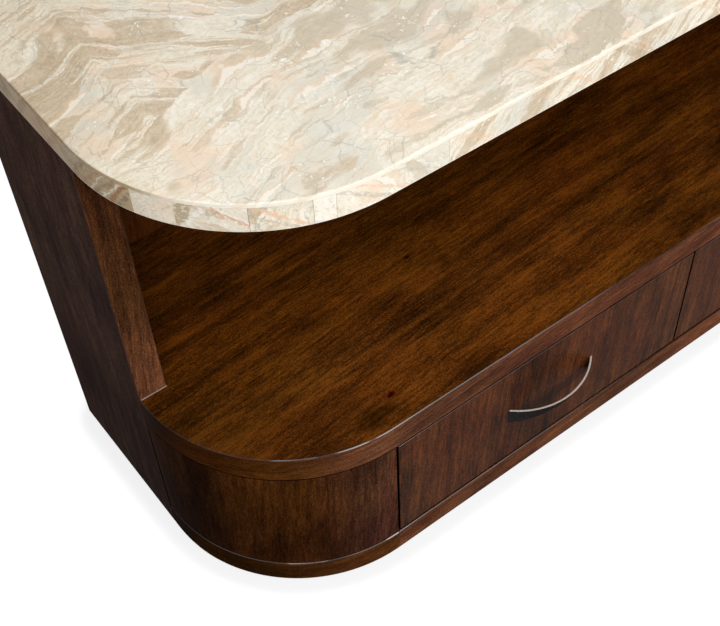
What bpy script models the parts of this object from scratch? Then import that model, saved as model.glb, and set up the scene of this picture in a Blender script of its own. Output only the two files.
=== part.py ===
"""Sofa table with a stone top, an open shelf, two drawers and quarter-round front corners.

The table stands on z = 0 with its drawers facing -Y. x = 0 is the middle of its length, and
y = 0 is halfway between the front of the pulls and the back of the case.
"""

import math

import bmesh
import bpy

# Whole table
LENGTH = 1.6256
DEPTH = 0.5207
HEIGHT = 0.762
CORNER_RADIUS = 0.238
BACK_CORNER_RADIUS = 0.011
FIT_GAP = 0.0003
CORNER_STEPS = 24

# Stone top: a thin slab on a plywood core, framed by edge strips cut in short lengths
STONE_THICKNESS = 0.040
SLAB_THICKNESS = 0.006
EDGE_STRIP_WIDTH = 0.040
SIDE_STRIP_ROUND_RUN = 0.0955
CORNER_STRIP_RUNS = (0.050, 0.077, 0.066, 0.0245)
FRONT_STRIP_RUN = 0.142
STONE_ARRIS = 0.0012

# Case
END_THICKNESS = 0.0413
END_STRAIGHT = 0.007
BACK_THICKNESS = 0.0145
SHELF_THICKNESS = 0.045
SHELF_ARRIS = 0.0016
DRAWER_BAY_HEIGHT = 0.217
CORNER_WALL = 0.018
PARTITION_THICKNESS = 0.018
CLEAT_SIDE = 0.024
CLEAT_SETBACK = 0.040
WOOD_ARRIS = 0.0010

# Base
GLIDE_HEIGHT = 0.004
GLIDE_RADIUS = 0.0085
GLIDE_TAPER = 0.0012
GLIDE_SIDES = 24
GLIDE_SETBACK = 0.050
BASE_HEIGHT = 0.043
BASE_WALL = 0.020
BASE_PROUD = 0.0015
BASE_ARRIS = 0.0015
BOTTOM_THICKNESS = 0.018

# Drawers
DRAWER_GAP = 0.0035
DRAWER_FRONT_THICKNESS = 0.020
BOX_WALL = 0.012
BOX_LIFT = 0.018
BOX_DROP = 0.030
BOX_BACK_CLEARANCE = 0.040
BOX_BOTTOM_THICKNESS = 0.006
BOX_BOTTOM_RISE = 0.010
GROOVE_DEPTH = 0.005
TAIL_LENGTH = 0.013
TAIL_PITCH = 0.042
TAIL_SHARE = 0.56
TAIL_SLOPE = 1 / 7

# Bow pulls: a flat strap bent to an arc, its ends cut flat on the drawer front
PULL_SPAN = 0.1675
PULL_PROJECTION = 0.036
PULL_HEIGHT = 0.028
PULL_THICKNESS = 0.0032
PULL_STEPS = 24

# Three-part telescopic slides
SLIDE_WIDTH = 0.0127
SLIDE_HEIGHT = 0.045
SLIDE_LENGTH = 0.400
SLIDE_SHEET = 0.0012
SLIDE_RACE_GAP = 0.0005
SLIDE_SETBACK = 0.003

# Derived places
LEFT = -LENGTH / 2
RIGHT = LENGTH / 2
FRONT = -(DEPTH - PULL_PROJECTION) / 2
BACK = FRONT + DEPTH
END_FRONT = FRONT + CORNER_RADIUS + END_STRAIGHT
BACK_INNER = BACK - BACK_THICKNESS
BASE_TOP = GLIDE_HEIGHT + BASE_HEIGHT
SHELF_BOTTOM = BASE_TOP + DRAWER_BAY_HEIGHT
SHELF_TOP = SHELF_BOTTOM + SHELF_THICKNESS
STONE_BOTTOM = HEIGHT - STONE_THICKNESS
SLAB_BOTTOM = HEIGHT - SLAB_THICKNESS
CORNER_RUN = CORNER_RADIUS * math.pi / 2
DRAWER_FRONT_BACK = FRONT + DRAWER_FRONT_THICKNESS
BOX_LOW = BASE_TOP + BOX_LIFT
BOX_HIGH = SHELF_BOTTOM - BOX_DROP
BOX_FRONT = DRAWER_FRONT_BACK + FIT_GAP
BOX_BACK = BACK_INNER - BOX_BACK_CLEARANCE
BOX_BOTTOM_LOW = BOX_LOW + BOX_BOTTOM_RISE
BOX_BOTTOM_HIGH = BOX_BOTTOM_LOW + BOX_BOTTOM_THICKNESS
SLIDE_FRONT = BOX_FRONT + SLIDE_SETBACK
SLIDE_MIDDLE = (BOX_LOW + BOX_HIGH) / 2
SIDES = {"left": -1, "right": 1}


def clear_scene():
    for obj in list(bpy.data.objects):
        bpy.data.objects.remove(obj, do_unlink=True)


def new_collection(name):
    collection = bpy.data.collections.new(name)
    bpy.context.scene.collection.children.link(collection)
    return collection


def finish_material(name, colour, roughness, metallic=0.0):
    material = bpy.data.materials.new(name)
    material.use_nodes = True
    shader = material.node_tree.nodes["Principled BSDF"]
    shader.inputs["Base Color"].default_value = (*colour, 1.0)
    shader.inputs["Roughness"].default_value = roughness
    shader.inputs["Metallic"].default_value = metallic
    return material


clear_scene()
TABLE = new_collection("sofa_table")
CUTTERS = new_collection("cutters")

STONE = finish_material("polished_stone", (0.72, 0.64, 0.52), 0.25)
STONE_EDGE = finish_material("stone_edge", (0.66, 0.58, 0.48), 0.30)
PLYWOOD = finish_material("plywood", (0.52, 0.38, 0.22), 0.70)
SHELF_WOOD = finish_material("amber_walnut", (0.11, 0.045, 0.010), 0.35)
CASE_WOOD = finish_material("red_walnut", (0.075, 0.028, 0.015), 0.40)
DRAWER_WOOD = finish_material("drawer_maple", (0.42, 0.28, 0.15), 0.55)
PULL_METAL = finish_material("champagne_bronze", (0.42, 0.36, 0.28), 0.28, 1.0)
SLIDE_STEEL = finish_material("zinc_steel", (0.62, 0.63, 0.64), 0.35, 1.0)
GLIDE_PLASTIC = finish_material("glide_plastic", (0.03, 0.025, 0.02), 0.50)


def add_object(name, mesh, material, collection=TABLE):
    obj = bpy.data.objects.new(name, mesh)
    collection.objects.link(obj)
    mesh.materials.append(material)
    return obj


def hide_cutter(obj):
    obj.hide_render = True
    obj.display_type = "WIRE"
    return obj


def board(name, low, high, material, collection=TABLE):
    """A rectangular board between two opposite corners."""
    middle = [(a + b) / 2 for a, b in zip(low, high)]
    shape = bmesh.new()
    bmesh.ops.create_cube(shape, size=1.0)
    bmesh.ops.scale(shape, vec=[b - a for a, b in zip(low, high)], verts=shape.verts)
    mesh = bpy.data.meshes.new(name)
    shape.to_mesh(mesh)
    shape.free()
    obj = add_object(name, mesh, material, collection)
    obj.location = middle
    return obj


def plate(name, outline, middle, thickness, material, turn=(0, 0, 0), collection=TABLE):
    """A flat outline, extruded to its thickness, welded and turned into place."""
    curve = bpy.data.curves.new(name, "CURVE")
    curve.dimensions = "2D"
    curve.fill_mode = "BOTH"
    curve.extrude = thickness / 2
    spline = curve.splines.new("POLY")
    spline.points.add(len(outline) - 1)
    for point, (x, y) in zip(spline.points, outline):
        point.co = (x, y, 0, 1)
    spline.use_cyclic_u = True
    drawn = bpy.data.objects.new(name + "_outline", curve)
    bpy.context.scene.collection.objects.link(drawn)
    graph = bpy.context.evaluated_depsgraph_get()
    mesh = bpy.data.meshes.new_from_object(drawn.evaluated_get(graph))
    bpy.data.objects.remove(drawn, do_unlink=True)
    mesh.name = name
    mesh.materials.clear()
    shape = bmesh.new()
    shape.from_mesh(mesh)
    bmesh.ops.remove_doubles(shape, verts=shape.verts, dist=1e-6)
    bmesh.ops.dissolve_limit(
        shape, angle_limit=math.radians(0.05), verts=shape.verts, edges=shape.edges
    )
    bmesh.ops.recalc_face_normals(shape, faces=shape.faces)
    shape.to_mesh(mesh)
    shape.free()
    obj = add_object(name, mesh, material, collection)
    obj.location = middle
    obj.rotation_euler = [math.radians(angle) for angle in turn]
    return obj


def level_plate(name, outline, bottom, top, material):
    """A plate whose outline lies in plan."""
    return plate(name, outline, (0, 0, (bottom + top) / 2), top - bottom, material)


def ease(obj, width, chosen, segments=2):
    """Rounds the edges that chosen(middle, direction) picks, in the object's own axes."""
    shape = bmesh.new()
    shape.from_mesh(obj.data)
    picked = []
    for edge in shape.edges:
        a, b = (vert.co for vert in edge.verts)
        if len(edge.link_faces) == 2 and edge.calc_face_angle() > math.radians(40):
            if chosen((a + b) / 2, (b - a).normalized()):
                picked.append(edge)
    bmesh.ops.bevel(
        shape, geom=picked, offset=width, segments=segments, profile=0.5, affect="EDGES"
    )
    shape.to_mesh(obj.data)
    shape.free()
    obj.data.shade_smooth()
    obj.data.set_sharp_from_angle(angle=math.radians(35))
    return obj


def cut(obj, cutter):
    modifier = obj.modifiers.new("cut_by_" + cutter.name, "BOOLEAN")
    modifier.operation = "DIFFERENCE"
    modifier.solver = "EXACT"
    modifier.object = cutter


def arc(centre, radius, start, end, steps):
    """Points along an arc in plan, both ends included, with angles in degrees."""
    points = []
    for step in range(steps + 1):
        angle = math.radians(start + (end - start) * step / steps)
        points.append(
            (centre[0] + radius * math.cos(angle), centre[1] + radius * math.sin(angle))
        )
    return points


def mirrored(points):
    """The same outline on the other side of the table's middle."""
    return [(-x, y) for x, y in reversed(points)]


def on_side(points, side):
    return points if side < 0 else mirrored(points)


def x_span(side, near, far):
    """Two distances from the table's middle, as a low and a high x on one side of it."""
    return sorted((side * near, side * far))


def front_corner(inset):
    """The left front corner's curve, from the side to the front, set in by an inset."""
    centre = (LEFT + CORNER_RADIUS, FRONT + CORNER_RADIUS)
    return arc(centre, CORNER_RADIUS - inset, 180, 270, CORNER_STEPS)


def wrapped_outline(inset, end_inset, back):
    """A panel that wraps both front corners and is notched to pass between the end panels."""
    shoulder = END_FRONT - FIT_GAP
    left = [
        (LEFT + end_inset, back),
        (LEFT + end_inset, shoulder),
        (LEFT + inset, shoulder),
        *front_corner(inset),
    ]
    return left + mirrored(left)


def rounded_top_outline(inset):
    """The stone top's outline, set in by an inset."""
    radius = max(BACK_CORNER_RADIUS - inset, 0)
    if radius:
        centre = (LEFT + BACK_CORNER_RADIUS, BACK - BACK_CORNER_RADIUS)
        back_corner = arc(centre, radius, 90, 180, 4)
    else:
        back_corner = [(LEFT + inset, BACK - inset)]
    left = back_corner + front_corner(inset)
    return left + mirrored(left)


def edge_run(start, end, inset):
    """Points on the left edge of the top between two distances past the start of its corner."""
    steps = [CORNER_RUN * step / CORNER_STEPS for step in range(CORNER_STEPS + 1)]
    runs = [start] + [run for run in steps if start < run < end] + [end]
    points = []
    for run in runs:
        if run < 0:
            points.append((LEFT + inset, FRONT + CORNER_RADIUS - run))
        elif run > CORNER_RUN:
            points.append((LEFT + CORNER_RADIUS + run - CORNER_RUN, FRONT + inset))
        else:
            angle = math.pi + run / CORNER_RADIUS
            reach = CORNER_RADIUS - inset
            points.append(
                (
                    LEFT + CORNER_RADIUS + reach * math.cos(angle),
                    FRONT + CORNER_RADIUS + reach * math.sin(angle),
                )
            )
    return points


def edge_piece(start, end):
    """The plan of one edge strip, cut square to the edge at both ends."""
    outer = edge_run(start, end, 0)
    inner = edge_run(start, end, EDGE_STRIP_WIDTH)
    return outer + inner[::-1]


def side_piece(end):
    """The plan of the strip along one end, which rounds the back corner."""
    centre = (LEFT + BACK_CORNER_RADIUS, BACK - BACK_CORNER_RADIUS)
    outer = arc(centre, BACK_CORNER_RADIUS, 90, 180, 4) + edge_run(0, end, 0)
    inner = [(LEFT + EDGE_STRIP_WIDTH, BACK)] + edge_run(0, end, EDGE_STRIP_WIDTH)
    return outer + inner[::-1]


def build_stone_top():
    slab = level_plate("stone_slab", rounded_top_outline(0), SLAB_BOTTOM, HEIGHT, STONE)
    ease(slab, STONE_ARRIS, lambda middle, along: middle.z > 0 and abs(along.z) < 0.1)
    strip_top = SLAB_BOTTOM - FIT_GAP

    def strip(name, outline):
        level_plate(name, outline, STONE_BOTTOM, strip_top, STONE_EDGE)

    cuts = [SIDE_STRIP_ROUND_RUN]
    for run in (*CORNER_STRIP_RUNS, FRONT_STRIP_RUN):
        cuts.append(cuts[-1] + run)
    for side_name, side in SIDES.items():
        plan = side_piece(cuts[0] - FIT_GAP / 2)
        strip(f"{side_name}_stone_side_strip", on_side(plan, side))
        for number, (start, end) in enumerate(zip(cuts, cuts[1:]), 1):
            plan = edge_piece(start + FIT_GAP / 2, end - FIT_GAP / 2)
            strip(f"{side_name}_stone_edge_strip_{number}", on_side(plan, side))
    reach = LEFT + CORNER_RADIUS + cuts[-1] - CORNER_RUN + FIT_GAP / 2
    front = [(reach, FRONT), (-reach, FRONT)]
    front += [(-reach, FRONT + EDGE_STRIP_WIDTH), (reach, FRONT + EDGE_STRIP_WIDTH)]
    strip("stone_front_strip", front)
    inner = LEFT + EDGE_STRIP_WIDTH + FIT_GAP
    back = [(inner, BACK - EDGE_STRIP_WIDTH), (-inner, BACK - EDGE_STRIP_WIDTH)]
    back += [(-inner, BACK), (inner, BACK)]
    strip("stone_back_strip", back)
    core = rounded_top_outline(EDGE_STRIP_WIDTH + FIT_GAP)
    level_plate("top_core", core, STONE_BOTTOM, strip_top, PLYWOOD)


def build_end_panels():
    for side_name, side in SIDES.items():
        centre = (LEFT + BACK_CORNER_RADIUS, BACK - BACK_CORNER_RADIUS)
        plan = [
            (LEFT + END_THICKNESS, BACK),
            *arc(centre, BACK_CORNER_RADIUS, 90, 180, 6),
            (LEFT, END_FRONT),
            (LEFT + END_THICKNESS, END_FRONT),
        ]
        panel = level_plate(
            f"{side_name}_end_panel",
            on_side(plan, side),
            GLIDE_HEIGHT,
            STONE_BOTTOM - FIT_GAP,
            CASE_WOOD,
        )
        ease(
            panel,
            WOOD_ARRIS,
            lambda middle, along: abs(along.z) > 0.9 and middle.y < END_FRONT + FIT_GAP,
        )


def build_back_and_cleats():
    inner = RIGHT - END_THICKNESS - FIT_GAP
    top = STONE_BOTTOM - FIT_GAP
    board("back_panel", (-inner, BACK_INNER, GLIDE_HEIGHT), (inner, BACK, top), CASE_WOOD)
    cleat_back = BACK_INNER - FIT_GAP
    for side_name, side in SIDES.items():
        faces = x_span(side, inner, inner - CLEAT_SIDE)
        board(
            f"{side_name}_top_cleat",
            (faces[0], END_FRONT + CLEAT_SETBACK, top - CLEAT_SIDE),
            (faces[1], cleat_back, top),
            CASE_WOOD,
        )
    reach = inner - CLEAT_SIDE - FIT_GAP
    board(
        "back_top_cleat",
        (-reach, cleat_back - CLEAT_SIDE, top - CLEAT_SIDE),
        (reach, cleat_back, top),
        CASE_WOOD,
    )


def build_shelf():
    plan = wrapped_outline(0, END_THICKNESS + FIT_GAP, BACK_INNER - FIT_GAP)
    shelf = level_plate("shelf", plan, SHELF_BOTTOM, SHELF_TOP, SHELF_WOOD)
    shoulder = END_FRONT - FIT_GAP
    ease(
        shelf,
        SHELF_ARRIS,
        lambda middle, along: abs(along.z) < 0.1
        and middle.z > 0
        and middle.y < shoulder - FIT_GAP,
    )


def wrapped_wall(outset, wall):
    """The plan of a wall that wraps the left front corner and stops at the drawers."""
    shoulder = END_FRONT - FIT_GAP
    outer = [(LEFT - outset, shoulder), *front_corner(-outset)]
    inner = [(LEFT - outset + wall, shoulder), *front_corner(wall - outset)]
    return outer + inner[::-1]


def build_corner_panels():
    for side_name, side in SIDES.items():
        level_plate(
            f"{side_name}_corner_panel",
            on_side(wrapped_wall(0, CORNER_WALL), side),
            BASE_TOP + FIT_GAP,
            SHELF_BOTTOM - FIT_GAP,
            CASE_WOOD,
        )


def build_base():
    half = BASE_HEIGHT / 2
    outer = FRONT - BASE_PROUD

    def on_top_arris(middle, along):
        clear_of_end = middle.y < END_FRONT - 2 * FIT_GAP
        return middle.z > half * 0.9 and abs(along.z) < 0.1 and clear_of_end

    for side_name, side in SIDES.items():
        corner = level_plate(
            f"{side_name}_base_corner",
            on_side(wrapped_wall(BASE_PROUD, BASE_WALL), side),
            GLIDE_HEIGHT,
            BASE_TOP,
            CASE_WOOD,
        )
        ease(
            corner,
            BASE_ARRIS,
            lambda middle, along: on_top_arris(middle, along)
            and math.hypot(
                abs(middle.x) - RIGHT + CORNER_RADIUS,
                min(middle.y - FRONT - CORNER_RADIUS, 0),
            )
            > CORNER_RADIUS,
        )
    reach = LEFT + CORNER_RADIUS + FIT_GAP
    front = board(
        "base_front",
        (reach, outer, GLIDE_HEIGHT),
        (-reach, outer + BASE_WALL, BASE_TOP),
        CASE_WOOD,
    )
    ease(front, BASE_ARRIS, lambda middle, along: middle.z > half * 0.9 and middle.y < 0)
    inset = BASE_WALL - BASE_PROUD + FIT_GAP
    plan = wrapped_outline(inset, END_THICKNESS + FIT_GAP, BACK_INNER - FIT_GAP)
    level_plate("bottom_panel", plan, BASE_TOP - BOTTOM_THICKNESS, BASE_TOP, PLYWOOD)
    for side_name, side in SIDES.items():
        front_x = side * (RIGHT - CORNER_RADIUS - GLIDE_SETBACK)
        add_glide(f"{side_name}_front_glide", front_x, outer + BASE_WALL / 2)
        back_x = side * (RIGHT - END_THICKNESS / 2)
        add_glide(f"{side_name}_back_glide", back_x, BACK - GLIDE_SETBACK)


def add_glide(name, x, y):
    shape = bmesh.new()
    bmesh.ops.create_cone(
        shape,
        cap_ends=True,
        segments=GLIDE_SIDES,
        radius1=GLIDE_RADIUS - GLIDE_TAPER,
        radius2=GLIDE_RADIUS,
        depth=GLIDE_HEIGHT - FIT_GAP,
    )
    mesh = bpy.data.meshes.new(name)
    shape.to_mesh(mesh)
    shape.free()
    glide = add_object(name, mesh, GLIDE_PLASTIC)
    glide.location = (x, y, (GLIDE_HEIGHT - FIT_GAP) / 2)


def build_partitions():
    low, high = BASE_TOP + FIT_GAP, SHELF_BOTTOM - FIT_GAP
    back = BACK_INNER - FIT_GAP
    inside = CORNER_RADIUS - CORNER_WALL
    wall_back = FRONT + CORNER_RADIUS - math.sqrt(inside**2 - PARTITION_THICKNESS**2)
    opening = RIGHT - CORNER_RADIUS
    for side_name, side in SIDES.items():
        faces = x_span(side, opening, opening + PARTITION_THICKNESS)
        board(
            f"{side_name}_partition",
            (faces[0], wall_back + FIT_GAP, low),
            (faces[1], back, high),
            PLYWOOD,
        )
    half = PARTITION_THICKNESS / 2
    board(
        "centre_divider",
        (-half, DRAWER_FRONT_BACK + FIT_GAP, low),
        (half, back, high),
        PLYWOOD,
    )


def tailed_side(grow):
    """A drawer side seen from its side, with dovetail tails at the front that can be grown."""
    count = max(2, round((BOX_HIGH - BOX_LOW) / TAIL_PITCH))
    pitch = (BOX_HIGH - BOX_LOW) / count
    root = pitch * TAIL_SHARE / 2 + grow
    tip = root + TAIL_LENGTH * TAIL_SLOPE
    tip_y = DRAWER_FRONT_BACK - TAIL_LENGTH - grow
    outline = [(BOX_BACK, BOX_LOW), (BOX_BACK, BOX_HIGH), (BOX_FRONT, BOX_HIGH)]
    for number in reversed(range(count)):
        middle = BOX_LOW + pitch * (number + 0.5)
        outline += [(BOX_FRONT, middle + root), (tip_y, middle + tip)]
        outline += [(tip_y, middle - tip), (BOX_FRONT, middle - root)]
    return outline + [(BOX_FRONT, BOX_LOW)]


def channel(height, web, rim):
    """A folded channel's section: a web with a flange along each edge that ends at the rim."""
    half = height / 2
    inside = web + math.copysign(SLIDE_SHEET, rim - web)
    return [
        (web, -half),
        (rim, -half),
        (rim, -half + SLIDE_SHEET),
        (inside, -half + SLIDE_SHEET),
        (inside, half - SLIDE_SHEET),
        (rim, half - SLIDE_SHEET),
        (rim, half),
        (web, half),
    ]


def add_slide(prefix, wall, towards, carriers):
    """One slide between a case wall and the drawer side that faces it."""
    step = SLIDE_SHEET + SLIDE_RACE_GAP
    case_web = FIT_GAP
    drawer_web = SLIDE_WIDTH - FIT_GAP
    rim = drawer_web - step
    members = {
        "case_runner": (SLIDE_HEIGHT, case_web, rim),
        "middle_runner": (SLIDE_HEIGHT - 2 * step, case_web + step, rim),
        "drawer_runner": (SLIDE_HEIGHT - 4 * step, drawer_web, case_web + 2 * step),
    }
    for name, (height, web, rim) in members.items():
        section = channel(height, web, rim)
        section = [(wall + towards * across, up) for across, up in section]
        runner = plate(
            f"{prefix}_{name}",
            section,
            (0, SLIDE_FRONT + SLIDE_LENGTH / 2, SLIDE_MIDDLE),
            SLIDE_LENGTH,
            SLIDE_STEEL,
            turn=(90, 0, 0),
        )
        carrier = carriers.get(name)
        if carrier:
            carry(runner, carrier)


def carry(obj, carrier):
    obj.parent = carrier
    obj.location = obj.location - carrier.location


def new_carrier(name, place):
    carrier = bpy.data.objects.new(name, None)
    carrier.location = place
    TABLE.objects.link(carrier)
    return carrier


def bow_pull(name, middle_x, middle_z):
    """A strap bent to an arc between two points of the drawer front."""
    foot = FRONT - FIT_GAP
    rise = PULL_PROJECTION - FIT_GAP
    half_span = PULL_SPAN / 2
    outer = (half_span**2 + rise**2) / (2 * rise)
    inner = outer - PULL_THICKNESS
    centre = (middle_x, foot + outer - rise)
    outer_half = math.degrees(math.acos((outer - rise) / outer))
    inner_half = math.degrees(math.acos((outer - rise) / inner))
    outline = arc(centre, outer, 270 - outer_half, 270 + outer_half, PULL_STEPS)
    outline += arc(centre, inner, 270 + inner_half, 270 - inner_half, PULL_STEPS)
    half = PULL_HEIGHT / 2
    return level_plate(name, outline, middle_z - half, middle_z + half, PULL_METAL)


def build_drawer(side_name, side):
    opening = x_span(side, PARTITION_THICKNESS / 2, RIGHT - CORNER_RADIUS)
    front_edges = x_span(side, DRAWER_GAP / 2, RIGHT - CORNER_RADIUS - DRAWER_GAP)
    box = (opening[0] + SLIDE_WIDTH, opening[1] - SLIDE_WIDTH)
    low, high = BASE_TOP + DRAWER_GAP, SHELF_BOTTOM - DRAWER_GAP
    middle_x = (front_edges[0] + front_edges[1]) / 2
    middle_z = (low + high) / 2
    prefix = f"{side_name}_drawer"
    carrier = new_carrier(prefix, (middle_x, FRONT, middle_z))
    middle_carrier = new_carrier(f"{prefix}_middle_runners", (middle_x, FRONT, middle_z))

    front = board(
        f"{prefix}_front",
        (front_edges[0], FRONT, low),
        (front_edges[1], DRAWER_FRONT_BACK, high),
        CASE_WOOD,
    )
    ease(front, WOOD_ARRIS, lambda middle, along: middle.y < 0)

    inner = (box[0] + BOX_WALL, box[1] - BOX_WALL)
    sunk = (inner[0] - GROOVE_DEPTH + FIT_GAP, inner[1] + GROOVE_DEPTH - FIT_GAP)
    panel_front = DRAWER_FRONT_BACK - GROOVE_DEPTH + FIT_GAP
    panel = board(
        f"{prefix}_bottom",
        (sunk[0], panel_front, BOX_BOTTOM_LOW),
        (sunk[1], BOX_BACK - FIT_GAP, BOX_BOTTOM_HIGH),
        DRAWER_WOOD,
    )
    groove = board(
        f"{prefix}_groove_cutter",
        (sunk[0] - FIT_GAP, panel_front - FIT_GAP, BOX_BOTTOM_LOW - FIT_GAP),
        (sunk[1] + FIT_GAP, BOX_BACK + GROOVE_DEPTH, BOX_BOTTOM_HIGH + FIT_GAP),
        DRAWER_WOOD,
        CUTTERS,
    )
    hide_cutter(groove)
    back = board(
        f"{prefix}_back",
        (inner[0] + FIT_GAP, BOX_BACK - BOX_WALL, BOX_BOTTOM_HIGH + FIT_GAP),
        (inner[1] - FIT_GAP, BOX_BACK, BOX_HIGH),
        DRAWER_WOOD,
    )
    walls = []
    for hand, outer_face, across in (("left", box[0], 1), ("right", box[1], -1)):
        place = (outer_face + across * BOX_WALL / 2, 0, 0)
        wall = plate(
            f"{prefix}_{hand}_side", tailed_side(0), place, BOX_WALL, DRAWER_WOOD, turn=(90, 0, 90)
        )
        socket = plate(
            f"{prefix}_{hand}_socket_cutter",
            tailed_side(FIT_GAP),
            place,
            BOX_WALL + 2 * FIT_GAP,
            DRAWER_WOOD,
            turn=(90, 0, 90),
            collection=CUTTERS,
        )
        cut(front, hide_cutter(socket))
        cut(wall, groove)
        walls.append(wall)
    cut(front, groove)

    pull = bow_pull(f"{prefix}_pull", middle_x, middle_z)
    for obj in (front, panel, back, pull, *walls):
        carry(obj, carrier)
    carriers = {"middle_runner": middle_carrier, "drawer_runner": carrier}
    add_slide(f"{prefix}_left", opening[0], 1, carriers)
    add_slide(f"{prefix}_right", opening[1], -1, carriers)


def build_table():
    build_stone_top()
    build_end_panels()
    build_back_and_cleats()
    build_shelf()
    build_corner_panels()
    build_base()
    build_partitions()
    for side_name, side in SIDES.items():
        build_drawer(side_name, side)


build_table()
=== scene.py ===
"""The sofa table's looks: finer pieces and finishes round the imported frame, with light and camera."""

import math

import bpy
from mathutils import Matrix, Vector


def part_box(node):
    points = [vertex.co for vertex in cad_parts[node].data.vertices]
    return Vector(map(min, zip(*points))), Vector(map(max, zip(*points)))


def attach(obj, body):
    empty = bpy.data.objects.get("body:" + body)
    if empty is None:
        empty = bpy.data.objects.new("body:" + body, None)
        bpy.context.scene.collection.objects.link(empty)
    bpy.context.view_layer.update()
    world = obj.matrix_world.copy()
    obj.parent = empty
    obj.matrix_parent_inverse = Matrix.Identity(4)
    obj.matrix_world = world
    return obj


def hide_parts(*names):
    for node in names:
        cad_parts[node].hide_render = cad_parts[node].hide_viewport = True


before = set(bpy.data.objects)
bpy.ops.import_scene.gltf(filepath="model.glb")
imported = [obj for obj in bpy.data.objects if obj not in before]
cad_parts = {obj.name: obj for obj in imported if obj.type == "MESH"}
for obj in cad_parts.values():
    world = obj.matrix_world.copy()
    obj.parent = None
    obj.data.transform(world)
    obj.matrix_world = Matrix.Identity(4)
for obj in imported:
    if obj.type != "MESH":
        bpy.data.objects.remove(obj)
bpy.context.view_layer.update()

AXES = {"length": 0, "depth": 1, "height": 2}

# Sizes in metres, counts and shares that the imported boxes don't give
CORNER_RADIUS = 0.238
BACK_CORNER_RADIUS = 0.011
CORNER_STEPS = 48
BACK_CORNER_STEPS = 8
PULL_STEPS = 96
SCREW_SIDES = 32
GLIDE_SIDES = 48
STRIP_WIDTH = 0.040
SIDE_STRIP_ROUND_RUN = 0.0955
CORNER_STRIP_RUNS = (0.050, 0.077, 0.066, 0.0245, 0.142)
CORNER_WALL = 0.018
BASE_WALL = 0.020
BASE_PROUD = 0.0015
FAIRING_REACH = 0.10
PULL_THICKNESS = 0.0032
PULL_LEAN = 0.68
TAIL_PITCH = 0.042
TAIL_SHARE = 0.56
TAIL_SLOPE = 1 / 7
SCREW_RADIUS = 0.0042
SCREW_HEIGHT = 0.0018
SCREW_DOME_SHARE = 0.7
SCREW_SLOT_SHARE = 0.5
BACK_SCREW_MARGIN = 0.03
BACK_SCREW_COLUMNS = 6
GLIDE_RIM_SHARE = 0.3
JOINT_GAP = 0.0003

# Rounded arrises
SLAB_ARRIS = 0.0018
STRIP_ARRIS = 0.0012
SEAM_ARRIS = 0.00025
SHELF_ARRIS = 0.0011
WOOD_ARRIS = 0.0008
END_ARRIS = 0.0020
FINE_ARRIS = 0.0005
GROOVE_ARRIS = 0.0022
OUTLINE_SLACK = GROOVE_ARRIS * 1.2
SHADOW_ARRIS = 0.0012
PULL_ARRIS = 0.0004
FOOT_BEAD = 0.0012
FOOT_BEAD_SHARE = 0.9
FOOT_BEAD_STEPS = 6
ARRIS_STEPS = 3

# Angles in radians
GRAIN_LEAN = math.radians(4)
SHARP_ANGLE = math.radians(40)
SMOOTH_ANGLE = math.radians(35)
PULL_OVERRUN = 0.06

# Points CLOSE together share a plane, and within WELD they are one point. An edge over LONG_EDGE runs
# along its board. A face looks along an axis where its normal's share is over FACING.
CLOSE = 1e-5
WELD = 1e-6
LONG_EDGE = 0.1
FACING = 0.9

# Places worked out from the frame
SLAB_LOW, SLAB_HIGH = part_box("stone_slab")
LEFT, FRONT, BACK = SLAB_LOW.x, SLAB_LOW.y, SLAB_HIGH.y
END_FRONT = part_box("left_end_panel")[0].y
SHELF_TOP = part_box("shelf")[1].z
STRIP_LOW, STRIP_HIGH = (corner.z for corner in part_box("stone_front_strip"))
STRIP_MIDDLE = (STRIP_HIGH - STRIP_LOW) / 2
CORNER = Vector((LEFT + CORNER_RADIUS, FRONT + CORNER_RADIUS, 0))
CORNER_RUN = CORNER_RADIUS * math.pi / 2


# Modelling


def choose(piece):
    """Makes one piece the only selected and active one."""
    bpy.ops.object.select_all(action="DESELECT")
    piece.select_set(True)
    bpy.context.view_layer.objects.active = piece


def name_piece(name, finishes):
    """Names the new primitive, applies its place and gives it its finishes."""
    piece = bpy.context.object
    choose(piece)
    bpy.ops.object.transform_apply(location=True, rotation=True, scale=True)
    piece.name = name
    piece.data.name = name
    for finish in finishes:
        piece.data.materials.append(finish)
    return piece


def block(name, low, high, finishes):
    """A new piece that fills the box between two corners."""
    low, high = Vector(low), Vector(high)
    bpy.ops.mesh.primitive_cube_add(size=1, location=(low + high) / 2)
    bpy.context.object.scale = high - low
    return name_piece(name, finishes)


def edit_all(piece):
    """Enters edit mode with the whole piece selected."""
    choose(piece)
    bpy.ops.object.mode_set(mode="EDIT")
    bpy.ops.mesh.select_all(action="SELECT")


def leave_edit():
    bpy.ops.object.mode_set(mode="OBJECT")


def pick_edges(piece, wanted):
    """Enters edit mode with the sharp edges selected whose two ends wanted(a, b) accepts."""
    choose(piece)
    bpy.context.tool_settings.mesh_select_mode = (False, True, False)
    bpy.ops.object.mode_set(mode="EDIT")
    bpy.ops.mesh.select_all(action="DESELECT")
    bpy.ops.mesh.edges_select_sharp(sharpness=SHARP_ANGLE)
    leave_edit()
    mesh = piece.data
    sharp = [edge for edge in mesh.edges if edge.select]
    for part in (mesh.vertices, mesh.edges, mesh.polygons):
        part.foreach_set("select", [False] * len(part))
    for edge in sharp:
        edge.select = wanted(*(mesh.vertices[index].co for index in edge.vertices))
    bpy.ops.object.mode_set(mode="EDIT")


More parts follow.
